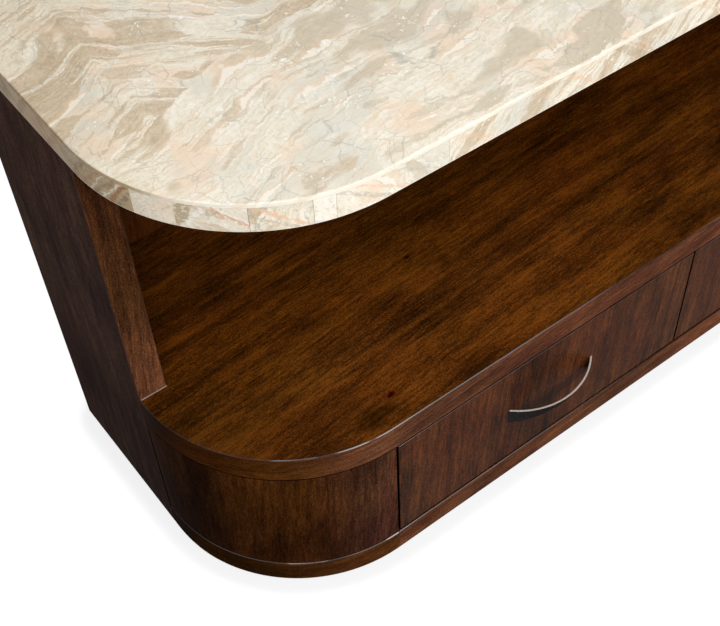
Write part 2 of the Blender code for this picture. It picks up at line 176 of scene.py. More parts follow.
def pick_faces(piece, wanted):
    """Enters edit mode with the faces selected that wanted(middle, normal) accepts."""
    choose(piece)
    bpy.context.tool_settings.mesh_select_mode = (False, False, True)
    mesh = piece.data
    for part in (mesh.vertices, mesh.edges):
        part.foreach_set("select", [False] * len(part))
    for face in mesh.polygons:
        face.select = wanted(face.center, face.normal)
    bpy.ops.object.mode_set(mode="EDIT")


def paint(piece, slot, wanted):
    """Gives the faces that wanted(middle, normal) accepts another of the piece's finishes."""
    pick_faces(piece, wanted)
    piece.active_material_index = slot
    bpy.ops.object.material_slot_assign()
    leave_edit()


def anywhere(a, b):
    return True


def upright(a, b):
    return abs(a.x - b.x) + abs(a.y - b.y) < CLOSE


def above(level):
    """Accepts the edges that lie at a height or above it."""
    return lambda a, b: min(a.z, b.z) > level - CLOSE


def below(level):
    """Accepts the edges that lie at a height or below it."""
    return lambda a, b: max(a.z, b.z) < level + CLOSE


def at_back_corner(point):
    """True at the left back corner of the stone and of the end panel below it."""
    return point.x < LEFT + CLOSE and point.y > BACK - CLOSE


def outermost(point):
    """True on the table's outline round the left front corner."""
    past_x = min(point.x - CORNER.x, 0)
    past_y = min(point.y - CORNER.y, 0)
    return math.hypot(past_x, past_y) > CORNER_RADIUS - OUTLINE_SLACK


def ease(piece, width, wanted=anywhere, steps=ARRIS_STEPS, slot=0):
    """Rounds the sharp edges that wanted(a, b) accepts, in one of the piece's finishes."""
    pick_edges(piece, wanted)
    bpy.ops.mesh.bevel(offset=width, segments=steps, profile=0.5, affect="EDGES", material=slot)
    leave_edit()


def round_corners(piece, radius, steps, wanted):
    """Rounds upright edges to a plan radius, in the finish of the faces."""
    ease(piece, radius, lambda a, b: upright(a, b) and wanted(a), steps)


def extrude(offset):
    bpy.ops.mesh.extrude_region_move(TRANSFORM_OT_translate={"value": offset})


def close_up(piece):
    """Welds a swept or mirrored piece and turns its faces outwards."""
    edit_all(piece)
    bpy.ops.mesh.remove_doubles(threshold=WELD)
    bpy.ops.mesh.normals_make_consistent(inside=False)
    leave_edit()


def edge_bar(name, start, end, inset, width, low, high, finishes):
    """A bar along the left edge between two distances past the start of its front corner."""
    reach = CORNER_RADIUS - inset - width / 2
    turn = min(max(start, 0), CORNER_RUN) / CORNER_RADIUS
    place = CORNER - Vector((math.cos(turn), math.sin(turn), 0)) * reach
    place += Vector((max(start - CORNER_RUN, 0), max(-start, 0), (low + high) / 2))
    bpy.ops.mesh.primitive_plane_add(size=1, location=place, rotation=(math.pi / 2, 0, turn))
    bpy.context.object.scale = (width, high - low, 1)
    bar = name_piece(name, finishes)
    edit_all(bar)
    if start < 0:
        extrude((0, start - min(end, 0), 0))
    sweep = (min(end, CORNER_RUN) - max(start, 0)) / CORNER_RADIUS
    if sweep > 0:
        steps = max(2, round(CORNER_STEPS * sweep / (math.pi / 2)))
        bpy.ops.mesh.spin(steps=steps, angle=-sweep, center=CORNER, axis=(0, 0, 1))
    if end > CORNER_RUN:
        extrude((end - max(start, CORNER_RUN), 0, 0))
    leave_edit()
    close_up(bar)
    return bar


def carve(piece, cutter):
    """Cuts one piece's shape out of another."""
    choose(piece)
    cut = piece.modifiers.new("carve", "BOOLEAN")
    cut.operation = "DIFFERENCE"
    cut.solver = "EXACT"
    cut.object = cutter
    bpy.ops.object.modifier_apply(modifier=cut.name)


def copy_piece(piece, name):
    """A copy of a piece with a mesh of its own, left in edit mode with everything selected."""
    choose(piece)
    bpy.ops.object.duplicate(linked=False)
    copy = bpy.context.object
    copy.name = name
    copy.data.name = name
    edit_all(copy)
    return copy


def mirror_copy(piece, name):
    """A copy of a piece on the other side of the table's middle."""
    copy = copy_piece(piece, name)
    bpy.ops.transform.resize(value=(-1, 1, 1), center_override=(0, 0, 0))
    leave_edit()
    close_up(copy)
    return copy


def moved_copy(piece, name, offset):
    """A copy of a piece moved to another place."""
    copy = copy_piece(piece, name)
    bpy.ops.transform.translate(value=offset)
    leave_edit()
    return copy


def mirrored(name):
    """A name with left and right exchanged."""
    hands = {"left": "right", "right": "left"}
    return "_".join(hands.get(word, word) for word in name.split("_"))


def dress(piece, slot, body, *nodes):
    """Shades a finished piece and rides it on its body in place of its CAD nodes."""
    choose(piece)
    bpy.ops.object.shade_smooth_by_angle(angle=SMOOTH_ANGLE)
    even = piece.modifiers.new("even_shading", "WEIGHTED_NORMAL")
    even.keep_sharp = True
    bpy.ops.object.modifier_apply(modifier=even.name)
    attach(piece, body)
    if nodes:
        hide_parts(*nodes)


def dress_pair(piece, slot, *nodes, body="case"):
    """Dresses a piece of the left half and its mirrored copy on the right."""
    twin = mirror_copy(piece, mirrored(piece.name))
    dress(piece, slot, body, *nodes)
    dress(twin, slot, mirrored(body), *(mirrored(node) for node in nodes))


# Shader maths


class Wire:
    """A node's output. Sums with it add Math nodes."""

    def __init__(self, finish, socket):
        self.finish = finish
        self.socket = socket

    def maths(self, operation, *values):
        return self.finish.node("Math", {"operation": operation}, dict(enumerate(values)))

    def __add__(self, other):
        return self.maths("ADD", self, other)

    def __sub__(self, other):
        return self.maths("SUBTRACT", self, other)

    def __rsub__(self, other):
        return self.maths("SUBTRACT", other, self)

    def __mul__(self, other):
        return self.maths("MULTIPLY", self, other)

    def __truediv__(self, other):
        return self.maths("DIVIDE", self, other)

    def __pow__(self, other):
        return self.maths("POWER", self, other)

    def __abs__(self):
        return self.maths("ABSOLUTE", self)

    def at_least(self, other):
        return self.maths("MAXIMUM", self, other)

    def at_most(self, other):
        return self.maths("MINIMUM", self, other)

    __radd__ = __add__
    __rmul__ = __mul__


class Nodes:
    """A shader's nodes, with the one method that adds them."""

    def __init__(self, tree):
        self.tree = tree

    def node(self, kind, settings=None, inputs=None, output=0):
        """Adds a node, sets it, fills its inputs with values or links and gives one output."""
        made = self.tree.nodes.new("ShaderNode" + kind)
        for key, value in (settings or {}).items():
            if key == "stops":
                self.set_stops(made.color_ramp, value)
            else:
                setattr(made, key, value)
        self.fill(made, inputs or {})
        return Wire(self, made.outputs[output])

    def fill(self, made, inputs):
        for key, value in inputs.items():
            if isinstance(value, Wire):
                self.tree.links.new(value.socket, made.inputs[key])
            else:
                made.inputs[key].default_value = value

    def set_stops(self, ramp, stops):
        while len(ramp.elements) < len(stops):
            ramp.elements.new(1.0)
        for element, (place, colour) in zip(ramp.elements, stops):
            element.position = place
            element.color = (*colour, 1.0)

    def place(self):
        return self.node("TexCoord", output="Object")

    def axes(self, vector):
        split = self.node("SeparateXYZ", inputs={0: vector}).socket.node
        return [Wire(self, socket) for socket in split.outputs]

    def vector(self, x, y, z):
        return self.node("CombineXYZ", inputs={0: x, 1: y, 2: z})

    def stretched(self, vector, scale, offset=(0, 0, 0), turn=0.0):
        inputs = {"Vector": vector, "Scale": scale, "Location": offset, "Rotation": (0, 0, turn)}
        return self.node("Mapping", inputs=inputs)

    def noise(self, vector, scale=1.0, detail=4.0, roughness=0.55, output=0):
        inputs = {"Vector": vector, "Scale": scale, "Detail": detail, "Roughness": roughness}
        return self.node("TexNoise", inputs=inputs, output=output)

    def shifted(self, vector, noise_colour, amount):
        """A vector pushed about by a noise's colour, up to half the amount each way."""
        centred = self.node(
            "VectorMath", {"operation": "SUBTRACT"}, {0: noise_colour, 1: (0.5, 0.5, 0.5)}
        )
        push = self.node("VectorMath", {"operation": "SCALE"}, {0: centred, "Scale": amount})
        return self.node("VectorMath", {"operation": "ADD"}, {0: vector, 1: push})

    def smooth(self, value, low, high):
        """0 below low, 1 above high and a smooth step between."""
        settings = {"interpolation_type": "SMOOTHSTEP"}
        return self.node("MapRange", settings, {"Value": value, 1: low, 2: high})

    def ramp(self, value, *stops):
        return self.node("ValToRGB", {"stops": stops}, {0: value})

    def mix(self, share, a, b, blend="MIX"):
        """Two colours mixed by a share."""
        settings = {"data_type": "RGBA", "blend_type": blend}
        colours = [value if isinstance(value, Wire) else (*value, 1.0) for value in (a, b)]
        return self.node("Mix", settings, {0: share, 6: colours[0], 7: colours[1]}, output=2)

    def bump(self, height, strength, distance):
        return self.node("Bump", inputs={"Height": height, "Strength": strength, "Distance": distance})


class Finish(Nodes):
    """A material in the making."""

    def __init__(self, name):
        self.material = bpy.data.materials.new(name)
        self.material.use_nodes = True
        super().__init__(self.material.node_tree)
        self.shader = self.tree.nodes["Principled BSDF"]

    def surface(self, inputs):
        """Feeds the surface shader and gives the finished material."""
        self.fill(self.shader, inputs)
        return self.material


def rgb(red, green, blue):
    """A colour as a screen shows it, from 0 to 255, in the linear values that shaders use."""
    def linear(level):
        level /= 255
        return level / 12.92 if level <= 0.04045 else ((level + 0.055) / 1.055) ** 2.4

    return linear(red), linear(green), linear(blue)


# Stone colours, and the folds and beds that they lie in
CREAM_STOPS = ((0.39, rgb(220, 208, 186)), (0.50, rgb(236, 227, 208)), (0.61, rgb(246, 240, 227)))
TAUPE_STOPS = ((0.38, rgb(186, 163, 133)), (0.50, rgb(204, 184, 156)), (0.62, rgb(218, 201, 176)))
PEACH_CLOUD = rgb(239, 211, 184)
GREY_CLOUD = rgb(217, 214, 201)
TAN_LAMINA = rgb(206, 190, 166)
PALE_LAMINA = rgb(246, 237, 222)
GREY_TAUPE = rgb(209, 200, 180)
BLUSH = rgb(230, 203, 174)
PALE_RIBBON = rgb(247, 239, 225)
FINE_RIBBON = rgb(246, 237, 221)
GREY_SEAM = rgb(168, 164, 152)
FINE_SEAM = rgb(172, 170, 160)
CRACK_GREY = rgb(164, 164, 158)
HAIRLINE_GREY = rgb(166, 165, 156)
CRYSTAL_WHITE = rgb(253, 250, 244)
# A pale cream painted along the stone's arrises as a highlight, and how much of it is laid on
STONE_ARRIS_HIGHLIGHT = rgb(246, 239, 225)
ARRIS_HIGHLIGHT_SHARE = 0.6
STONE_TAUPE = rgb(178, 157, 128)
STONE_WHITE = rgb(248, 242, 231)
STONE_CREAM = rgb(243, 232, 213)
STONE_RUST = rgb(203, 146, 106)
STONE_PEACH = rgb(233, 194, 160)
STONE_GREY = rgb(182, 180, 170)
STONE_BROWN = rgb(106, 85, 60)
STONE_PALE = rgb(188, 172, 150)
STONE_RUSSET = rgb(150, 98, 62)
# SIDE_SHADE darkens the left side strip and the slab's side edge: partly the stone's own browner colour,
# partly painted shade on the side turned from the light
SIDE_SHADE = (0.61, 0.50, 0.365)
END_SHADE = (0.93, 0.905, 0.86)
FOLD_CREST = 0.72
FOLD_WIDTH = 0.19
LEANING_BED = 0.044
FOLDED_BED = 0.034

# Wood colours in linear values, and factors on them
VENEER_TONE = (0.068, 0.0208, 0.0028)
RED_VENEER_TONE = (0.061, 0.0190, 0.0067)
BACK_TONE = (0.073, 0.0230, 0.0048)
# Painted shade: the curved corner panels' veneer, darker than the drawers' because they turn from the
# light
CORNER_SHADED_TONE = (0.046, 0.0140, 0.0030)
SOLID_TONE = (0.104, 0.0380, 0.0165)
# Painted shade: the base corners' wood, darker than the straight base because it turns from the light
BASE_CORNER_SHADED_TONE = (0.074, 0.0260, 0.0090)
# Painted shade: the end panels' wood, darker than the other veneer on the side turned from the light
END_SHADED_TONE = (0.031, 0.0105, 0.0038)
KNOT_TINT = (0.18, 0.06, 0.30)
KNOT_RIM_TINT = (0.85, 0.50, 0.60)
DARK_PATCH_TINT = (0.38, 0.40, 0.30)
PALE_TINT = (1.75, 1.80, 1.75)
PALE_TONE = (0.50, 0.36, 0.21)
EVEN = (1.0, 1.0, 1.0)
ARRIS_SHARE = 0.3
WOOD_ROUGHNESS = 0.38
PLY_PAIR = 0.003


# Finishes


def edge_run(finish, place):
    """Distance along the front edge from the table's middle, followed round both corners."""
    x, y, _ = finish.axes(place)
    side = x.maths("SIGN", x)
    across = abs(x)
    past_x = (across + CORNER.x).at_least(0)
    past_y = (CORNER.y - y).at_least(0)
    angle = x.maths("ARCTAN2", past_x, past_y)
    behind = (y - CORNER.y).at_least(0)
    run = across.at_most(-CORNER.x) + angle * CORNER_RADIUS + behind
    return run * side


def grain_place(finish, grain):
    """Object coordinates turned so that their first axis follows the grain."""
    place = finish.place()
    x, y, z = finish.axes(place)
    if grain == "length":
        return place
    if grain == "height":
        return finish.vector(z, x, y)
    if grain == "depth":
        return finish.vector(y, x, z)
    return finish.vector(edge_run(finish, place), z, 0.0)


def along(finish, axis):
    """One coordinate of a place, or its distance along the edge from the table's middle."""
    place = finish.place()
    if axis == "run":
        return abs(edge_run(finish, place))
    return finish.axes(place)[AXES[axis]]


def drifted(finish, colour, drifts):
    """A colour multiplied by one factor before a stretch of an axis and by another past it."""
    for axis, start, end, near, far in drifts:
        factor = finish.mix(finish.smooth(along(finish, axis), start, end), near, far)
        colour = finish.mix(1.0, colour, factor, "MULTIPLY")
    return colour


def wood_colour(finish, grain, tone, spread, seed):
    """Stained wood: blotches, bands and streaks along the grain, fine fibres and dark pores."""
    offset = (seed, seed * 0.7, seed * 1.3)
    place = finish.stretched(grain_place(finish, grain), (1, 1, 1), offset, -GRAIN_LEAN)
    wander = finish.noise(finish.stretched(place, (1.5, 5.0, 5.0)), 1.0, 2.0, output=1)
    bent = finish.shifted(place, wander, 0.035)
    blotch = finish.noise(finish.stretched(bent, (6.0, 15.0, 15.0)), 1.0, 5.0, 0.65)
    band = finish.noise(finish.stretched(bent, (2.2, 46.0, 46.0)), 1.0, 3.0)
    streak = finish.noise(finish.stretched(bent, (13.0, 190.0, 190.0)), 1.0, 3.0, 0.6)
    fibre = finish.noise(finish.stretched(bent, (60.0, 480.0, 480.0)), 1.0, 3.0, 0.7)
    speck = finish.noise(place, 420.0, 3.0, 0.7)
    pore = finish.noise(finish.stretched(bent, (34.0, 420.0, 420.0), (3, 5, 7)), 1.0, 2.0)
    depth = (blotch - 0.5) * 1.2 + (band - 0.5) * 0.8 + (streak - 0.5) * 0.8
    depth = depth + (fibre - 0.5) * 0.9 + (speck - 0.5) * 1.4
    red, green, blue = tone
    colour = finish.ramp(
        depth * spread + 0.5,
        (0.0, (red * 0.22, green * 0.26, blue * 0.40)),
        (0.5, tone),
        (1.0, (red * 2.4, green * 2.5, blue * 2.1)),
    )
    ruddy = finish.noise(finish.stretched(bent, (3.0, 9.0, 9.0), (9, 4, 2)), 1.0, 2.0)
    colour = finish.mix(finish.smooth(ruddy, 0.38, 0.62) * 0.6, colour, (1.0, 0.82, 0.90), "MULTIPLY")
    open_pore = finish.smooth(pore, 0.57, 0.68)
    colour = finish.mix(open_pore * 0.5, colour, tuple(value * 0.2 for value in tone))
    return colour, fibre, open_pore


def wood(name, grain, tone, spread, seed, specular, drifts=(), figures=(), roughness=WOOD_ROUGHNESS):
    """A wood finish whose colour drifts along its axes and carries figures such as knots."""
    finish = Finish(name)
    colour, fibre, pore = wood_colour(finish, grain, tone, spread, seed)
    colour = drifted(finish, colour, drifts)
    for place, size, tint, share in figures:
        colour = figured(finish, colour, place, size, tint, share)
    height = fibre * 0.5 - pore
    return finish.surface(
        {
            "Base Color": colour,
            "Specular IOR Level": specular,
            "Roughness": fibre * 0.16 + (roughness - 0.08),
            "Normal": finish.bump(height, 0.12, 0.0004),
        }
    )


def figured(finish, colour, place, size, tint, share):
    """A colour tinted round a plan place, fading out over a size along and across the grain."""
    x, y, _ = finish.axes(finish.place())
    ragged = finish.noise(finish.stretched(finish.place(), (45, 140, 140)), 1.0, 4.0, 0.65)
    away = ((x - place[0]) / size[0]) ** 2 + ((y - place[1]) / size[1]) ** 2 + (ragged - 0.5) * 2.2
    return finish.mix((1 - finish.smooth(away, 0.0, 1.0)) * share, colour, tint, "MULTIPLY")


def polished_arris(name, grain, tone, spread, seed, coat):
    """Wood rubbed dark along an arris under polish that is fullest near the corner's front end."""
    finish = Finish(name)
    dark = tuple(value * ARRIS_SHARE for value in tone)
    colour, fibre, _ = wood_colour(finish, grain, dark, spread, seed)
    run = along(finish, "run")
    rising = finish.smooth(run, 0.10, 0.50) * 0.24 + finish.smooth(run, 0.50, 0.60) * 0.66 + 0.10
    polish = (1 - finish.smooth(run, 0.63, 0.71)) * rising
    lingering = (1 - finish.smooth(run, 0.82, 0.90)) * finish.smooth(run, 0.70, 0.75)
    return finish.surface(
        {
            "Base Color": colour,
            "Specular IOR Level": 0.06,
            "Coat Roughness": 0.1,
            "Coat IOR": coat,
            "Roughness": fibre * 0.1 + 0.2,
            "Coat Weight": polish * 0.86 + lingering * 0.26 + 0.14,
        }
    )


def wood_pair(name, grain, tone, spread, seed, specular, drifts=(), figures=(), coat=1.5):
    """A wood finish for faces, and the same wood rubbed and polished along the arrises."""
    return (
        wood(name, grain, tone, spread, seed, specular, drifts, figures),
        polished_arris(f"{name}_arris", grain, tone, spread, seed, coat),
    )


def gap_shade_wood(name, tone, share):
    """Wood painted dark: painted shade in the gaps and seams where two pieces meet."""
    dark = tuple(value * share for value in tone)
    return wood(name, "height", dark, spread=0.5, seed=7.0, specular=0.0, roughness=0.6)


def bedding(finish, place):
    """Counts the stone's beds: leaning ones in front, and folded ones that they cut off behind."""
    wide = finish.noise(place, 3.6, 2.0, output=1)
    wavy = finish.noise(place, 15.0, 2.0, 0.5, output=1)
    torn = finish.noise(place, 55.0, 6.0, 0.68, output=1)
    bent = finish.shifted(place, wide, 0.05)
    bent = finish.shifted(bent, wavy, 0.010)
    bent = finish.shifted(bent, torn, 0.012)
    x, y, z = finish.axes(bent)
    past_crest = x + FOLD_CREST
    fall = past_crest.at_least(0).at_most(FOLD_WIDTH)
    fold = past_crest.at_most(0) * 0.40 - fall * 0.75
    fold = fold + (past_crest - FOLD_WIDTH).at_least(0) * 0.30
    blocks = finish.node("TexVoronoi", {"feature": "F1"}, {"Vector": bent, "Scale": 9.0}, output="Color")
    throw, _, _ = finish.axes(blocks)
    shattered = finish.smooth(x + finish.noise(place, 4.2, 2.0), -0.10, 0.20)
    shift = throw * shattered * 0.5
    leaning = (y - past_crest * 0.25 + z) / LEANING_BED + shift
    folded = (y - fold + z) / FOLDED_BED + shift + 40.5
    behind = leaning.maths("GREATER_THAN", leaning, -0.6)
    beds = leaning + (folded - leaning) * behind
    uneven = finish.noise(finish.vector(x * 3.0, beds * 0.55, y * 1.5), 1.0, 1.0)
    return beds + uneven * 2.4, bent, behind


def layer(finish, beds, bent, stretch, seed):
    """One set of beds: how far up its bed a point is, and two slow noises that follow the bed."""
    x, y, _ = finish.axes(bent)
    rise = x.maths("FRACT", beds)
    bed = finish.vector(x * stretch, x.maths("FLOOR", beds) * 5.3 + seed, y * stretch * 0.6)
    first = finish.noise(bed, 1.0, 3.0)
    second = finish.noise(finish.stretched(bed, (1.6, 1, 1.6), (7.7, 3.1, seed)), 1.0, 3.0)
    return rise, first, second


def stone_colour(finish, place):
    """Cream stone in torn beds: taupe lenses, pale ribbons, thin laminae, cracks, tints and crystals."""
    beds, bent, behind = bedding(finish, place)
    front = 1 - behind
    rise, patch, other = layer(finish, beds, bent, 6.5, 0.0)
    fine_rise, fine_patch, fine_other = layer(finish, beds * 2.7, bent, 11.0, 4.4)
    thin_rise, thin_patch, thin_other = layer(finish, beds * 8.3, bent, 14.0, 8.1)
    x, _, _ = finish.axes(bent)

    mottle = finish.noise(bent, 170.0, 6.0, 0.8)
    cloud = finish.noise(bent, 26.0, 4.0, 0.6)
    grain = finish.noise(finish.vector(x * 24.0, beds * 9.0, 0.0), 1.0, 4.0, 0.65)
    tone = mottle * 0.60 + cloud * 0.25 + grain * 0.50 - 0.175
    cream = finish.ramp(tone, *CREAM_STOPS)
    peach = finish.smooth(finish.noise(bent, 12.0, 4.0), 0.48, 0.64)
    colour = finish.mix(peach * 0.66, cream, PEACH_CLOUD)
    grey = finish.noise(finish.stretched(bent, (1, 1, 1), (4, 9, 2)), 8.0, 4.0)
    colour = finish.mix(finish.smooth(grey, 0.50, 0.62) * 0.65, colour, GREY_CLOUD)

    lamina = 1 - finish.smooth(abs(thin_rise - 0.5), 0.12, 0.30)
    lamina = lamina * finish.smooth(thin_patch, 0.48, 0.60)
    colour = finish.mix(lamina * (behind * 0.22 + 0.13), colour, TAN_LAMINA)
    pale_lamina = (1 - finish.smooth(thin_rise, 0.10, 0.40)) * finish.smooth(thin_other, 0.52, 0.60)
    colour = finish.mix(pale_lamina * (behind * 0.25 + 0.15), colour, PALE_LAMINA)

    taupe_tone = finish.ramp(tone, *TAUPE_STOPS)
    greyer = finish.smooth(abs(x), 0.62, 0.46) * front
    taupe_tone = finish.mix(greyer * 0.65, taupe_tone, GREY_TAUPE)
    ragged = (mottle - 0.5) * 0.5 + (cloud - 0.5) * 0.9
    lens = patch - abs(rise - 0.55) * 0.28 + ragged * 0.16
    lens = finish.smooth(lens, 0.476 - front * 0.014, 0.500 + front * 0.022)
    colour = finish.mix(lens * 0.85, colour, taupe_tone)
    fine_lens = fine_patch - abs(fine_rise - 0.5) * 0.30 + ragged * 0.12
    colour = finish.mix(finish.smooth(fine_lens, 0.515, 0.545) * 0.55, colour, taupe_tone)

    width = (other - 0.49) * 1.5 + ragged * 0.14
    blush = finish.smooth(width - rise, -0.14, 0.0)
    colour = finish.mix(blush * 0.50, colour, BLUSH)
    ribbon = finish.smooth(width - rise, 0.0, 0.05)
    colour = finish.mix(ribbon * 0.85, colour, PALE_RIBBON)
    fine_width = (fine_other - 0.54) * 1.6 + ragged * 0.25
    colour = finish.mix(finish.smooth(fine_width - fine_rise, 0.0, 0.10) * 0.65, colour, FINE_RIBBON)
    seam = (1 - finish.smooth(rise, 0.0, 0.030)) * finish.smooth(patch, 0.42, 0.50)
    colour = finish.mix(seam * 0.65, colour, GREY_SEAM)
    fine_seam = (1 - finish.smooth(fine_rise, 0.0, 0.055)) * finish.smooth(fine_patch, 0.50, 0.56)
    colour = finish.mix(fine_seam * 0.45, colour, FINE_SEAM)

    laid = finish.vector(x * 20.0, beds * 1.7, 0.0)
    cells = finish.node("TexVoronoi", {"feature": "DISTANCE_TO_EDGE"}, {"Vector": laid, "Scale": 1.0})
    broken = finish.smooth(finish.noise(place, 11.0, 3.0), 0.44, 0.56)
    crack = (1 - finish.smooth(cells, 0.0, 0.018)) * broken
    colour = finish.mix(crack * 0.55, colour, CRACK_GREY)
    hair = finish.node("TexVoronoi", {"feature": "DISTANCE_TO_EDGE"}, {"Vector": bent, "Scale": 34.0})
    crazed = finish.smooth(finish.noise(place, 6.5, 3.0), 0.46, 0.58)
    hairline = (1 - finish.smooth(hair, 0.0, 0.026)) * crazed
    colour = finish.mix(hairline * 0.38, colour, HAIRLINE_GREY)
    strewn = finish.noise(place, 21.0, 2.0) * 0.5 + ribbon * 0.03
    crystal = finish.smooth(finish.noise(bent, 210.0, 3.0, 0.6) + strewn, 0.94, 0.97)
    return finish.mix(crystal * 0.85, colour, CRYSTAL_WHITE)


def stone_finish(finish, colour):
    return finish.surface({"Base Color": colour, "Roughness": 0.42, "Specular IOR Level": 0.06})


def slab_stone():
    """Stone of the slab, darker towards its ends, with a painted highlight along its top arris in front,
    and side edges darkened like the side strip, partly by painted shade.
    """
    finish = Finish("polished_stone")
    place = finish.stretched(finish.place(), (1, 1, 1), (0, 0, -SLAB_HIGH.z))
    x, y, z = finish.axes(place)
    colour = stone_colour(finish, place)
    end = finish.smooth(abs(x) + y * 0.25, 0.66, 0.84)
    colour = finish.mix(end, colour, END_SHADE, "MULTIPLY")
    along_side = finish.smooth(along(finish, "run"), 0.80, 0.86)
    edge = 1 - finish.smooth(z, -SLAB_ARRIS, -SLAB_ARRIS / 4)
    # Painted highlight: the slab's top arris is painted pale, except along the side
    colour = finish.mix(edge * (1 - along_side) * ARRIS_HIGHLIGHT_SHARE, colour, STONE_ARRIS_HIGHLIGHT)
    return stone_finish(finish, finish.mix(edge * along_side, colour, SIDE_SHADE, "MULTIPLY"))


def strip_stone(name, cut, turn, shade, marks):
    """Stone of one edge strip, cut from its own place in the block and turned, with its own marks.

    Each mark is a slanted streak: where it crosses the strip's middle, its lean, its half width,
    its colour and its strength.
    """
    finish = Finish(name)
    _, _, z = finish.axes(finish.place())
    height = z - STRIP_LOW
    run = edge_run(finish, finish.place())
    face = finish.vector(run, height, 0.0)
    place = finish.stretched(face, (1, 1, 1), (*cut, 0), math.radians(turn))
    colour = finish.mix(1.0, stone_colour(finish, place), shade, "MULTIPLY")
    torn = (finish.noise(face, 70.0, 6.0, 0.75) - 0.5) * 0.030
    worn = finish.smooth(finish.noise(face, 160.0, 4.0, 0.7), 0.38, 0.52)
    for middle, lean, half_width, mark, strength in marks:
        away = abs(abs(run) - middle + (height - STRIP_MIDDLE) * lean + torn)
        streak = 1 - finish.smooth(away, half_width * 0.7, half_width)
        colour = finish.mix(streak * worn * strength, colour, mark)
    # Painted highlight: a pale rim along the strip's lower arris
    rim = (1 - finish.smooth(height, STRIP_ARRIS / 2, STRIP_ARRIS * 2)) * ARRIS_HIGHLIGHT_SHARE
    return stone_finish(finish, finish.mix(rim, colour, STONE_ARRIS_HIGHLIGHT))


def plain(name, colour, roughness):
    """A finish with a slight unevenness in tone and gloss."""
    finish = Finish(name)
    mottle = finish.noise(finish.place(), 60.0, 4.0)
    dark = tuple(value * 0.85 for value in colour)
    return finish.surface(
        {
            "Base Color": finish.mix(mottle, dark, colour),
            "Roughness": mottle * 0.1 + (roughness - 0.05),
        }
    )


def plywood(name, thickness, grain):
    """Pale plywood: a face veneer, and plies across the edges through the board's thickness."""
    finish = Finish(name)
    colour, fibre, _ = wood_colour(finish, grain, PALE_TONE, 0.22, 8.0)
    through = along(finish, thickness)
    facing = abs(finish.axes(finish.node("TexCoord", output="Normal"))[AXES[thickness]])
    ply = through.maths("FRACT", through / PLY_PAIR)
    stripe = finish.smooth(abs(ply - 0.5), 0.20, 0.30)
    edge = finish.mix(stripe, tuple(value * 0.62 for value in PALE_TONE), PALE_TONE)
    shown = finish.mix(finish.smooth(facing, 0.4, 0.6), edge, colour)
    return finish.surface({"Base Color": shown, "Roughness": fibre * 0.2 + 0.5})


def brushed_steel():
    """Zinc-plated steel with fine marks along the slide and a slight bloom."""
    finish = Finish("slide_steel")
    place = finish.place()
    brushed = finish.noise(finish.stretched(place, (600.0, 12.0, 600.0)), 1.0, 3.0)
    bloom = finish.noise(place, 24.0, 4.0)
    tone = brushed * 0.5 + bloom * 0.5
    colour = finish.ramp(tone, (0.35, (0.42, 0.43, 0.45)), (0.65, (0.62, 0.63, 0.64)))
    return finish.surface({"Base Color": colour, "Metallic": 1.0, "Roughness": brushed * 0.2 + 0.25})


def aged_bronze():
    """Darkened bronze with painted light: a painted reflection of the warm wood on faces turned to the
    right and inwards, and its upper and lower edges rubbed, partly metallic and painted pale as a
    highlight.
    """
    finish = Finish("aged_bronze")
    across, inwards, up = finish.axes(finish.node("TexCoord", output="Normal"))
    mottle = finish.noise(finish.place(), 140.0, 4.0)
    dark = finish.ramp(mottle, (0.35, (0.021, 0.018, 0.019)), (0.65, (0.031, 0.027, 0.028)))
    # Painted reflection: faces turned to the right and inwards are painted browner, for the warm wood
    # they reflect
    warm_reflection = finish.ramp(mottle, (0.35, (0.042, 0.020, 0.016)), (0.65, (0.058, 0.029, 0.024)))
    dark = finish.mix(finish.smooth(across, -0.30, 0.25), dark, warm_reflection)
    dark = finish.mix(finish.smooth(inwards, 0.1, 0.4), dark, (0.060, 0.029, 0.006))
    # Painted highlight: the upper and lower faces are painted pale, and partly metallic
    highlight_tone = finish.ramp(mottle, (0.35, (0.88, 0.80, 0.70)), (0.65, (0.98, 0.92, 0.83)))
    rubbed = finish.smooth(abs(up), 0.78, 0.95)
    return finish.surface(
        {
            "Base Color": finish.mix(rubbed, dark, highlight_tone),
            "Specular IOR Level": 0.0,
            "Metallic": rubbed * 0.65,
            "Roughness": mottle * 0.15 + 0.26,
        }
    )


STONE = (slab_stone(),)
SIDE_STRIP_MARKS = (
    (0.861, 0.9, 0.0055, STONE_BROWN, 0.5),
    (0.872, 0.8, 0.0035, STONE_RUSSET, 0.8),
    (0.880, 0.9, 0.0020, STONE_WHITE, 0.7),
    (0.890, 1.1, 0.0050, STONE_BROWN, 0.4),
    (0.902, 0.8, 0.0022, STONE_WHITE, 0.5),
    (0.914, 1.0, 0.0040, STONE_RUSSET, 0.4),
    (0.934, 0.9, 0.0060, STONE_BROWN, 0.5),
    (0.955, 0.9, 0.0025, STONE_PALE, 0.5),
    (0.990, 0.9, 0.0070, STONE_RUSSET, 0.35),
    (1.060, 0.9, 0.0080, STONE_BROWN, 0.4),
)
STRIP_1_MARKS = ((0.828, 0.0, 0.0400, STONE_CREAM, 0.55),)
STRIP_2_MARKS = (
    (0.797, 0.35, 0.0095, STONE_TAUPE, 0.85),
    (0.783, 0.80, 0.0040, STONE_WHITE, 0.8),
    (0.741, -1.6, 0.0060, STONE_RUST, 0.55),
    (0.733, -1.6, 0.0028, STONE_WHITE, 0.7),
)
STRIP_3_MARKS = (
    (0.720, -0.4, 0.0016, STONE_GREY, 0.9),
    (0.714, 0.5, 0.0014, STONE_GREY, 0.9),
    (0.712, -2.4, 0.0060, STONE_TAUPE, 0.45),
    (0.689, -1.7, 0.0050, STONE_PEACH, 0.85),
)
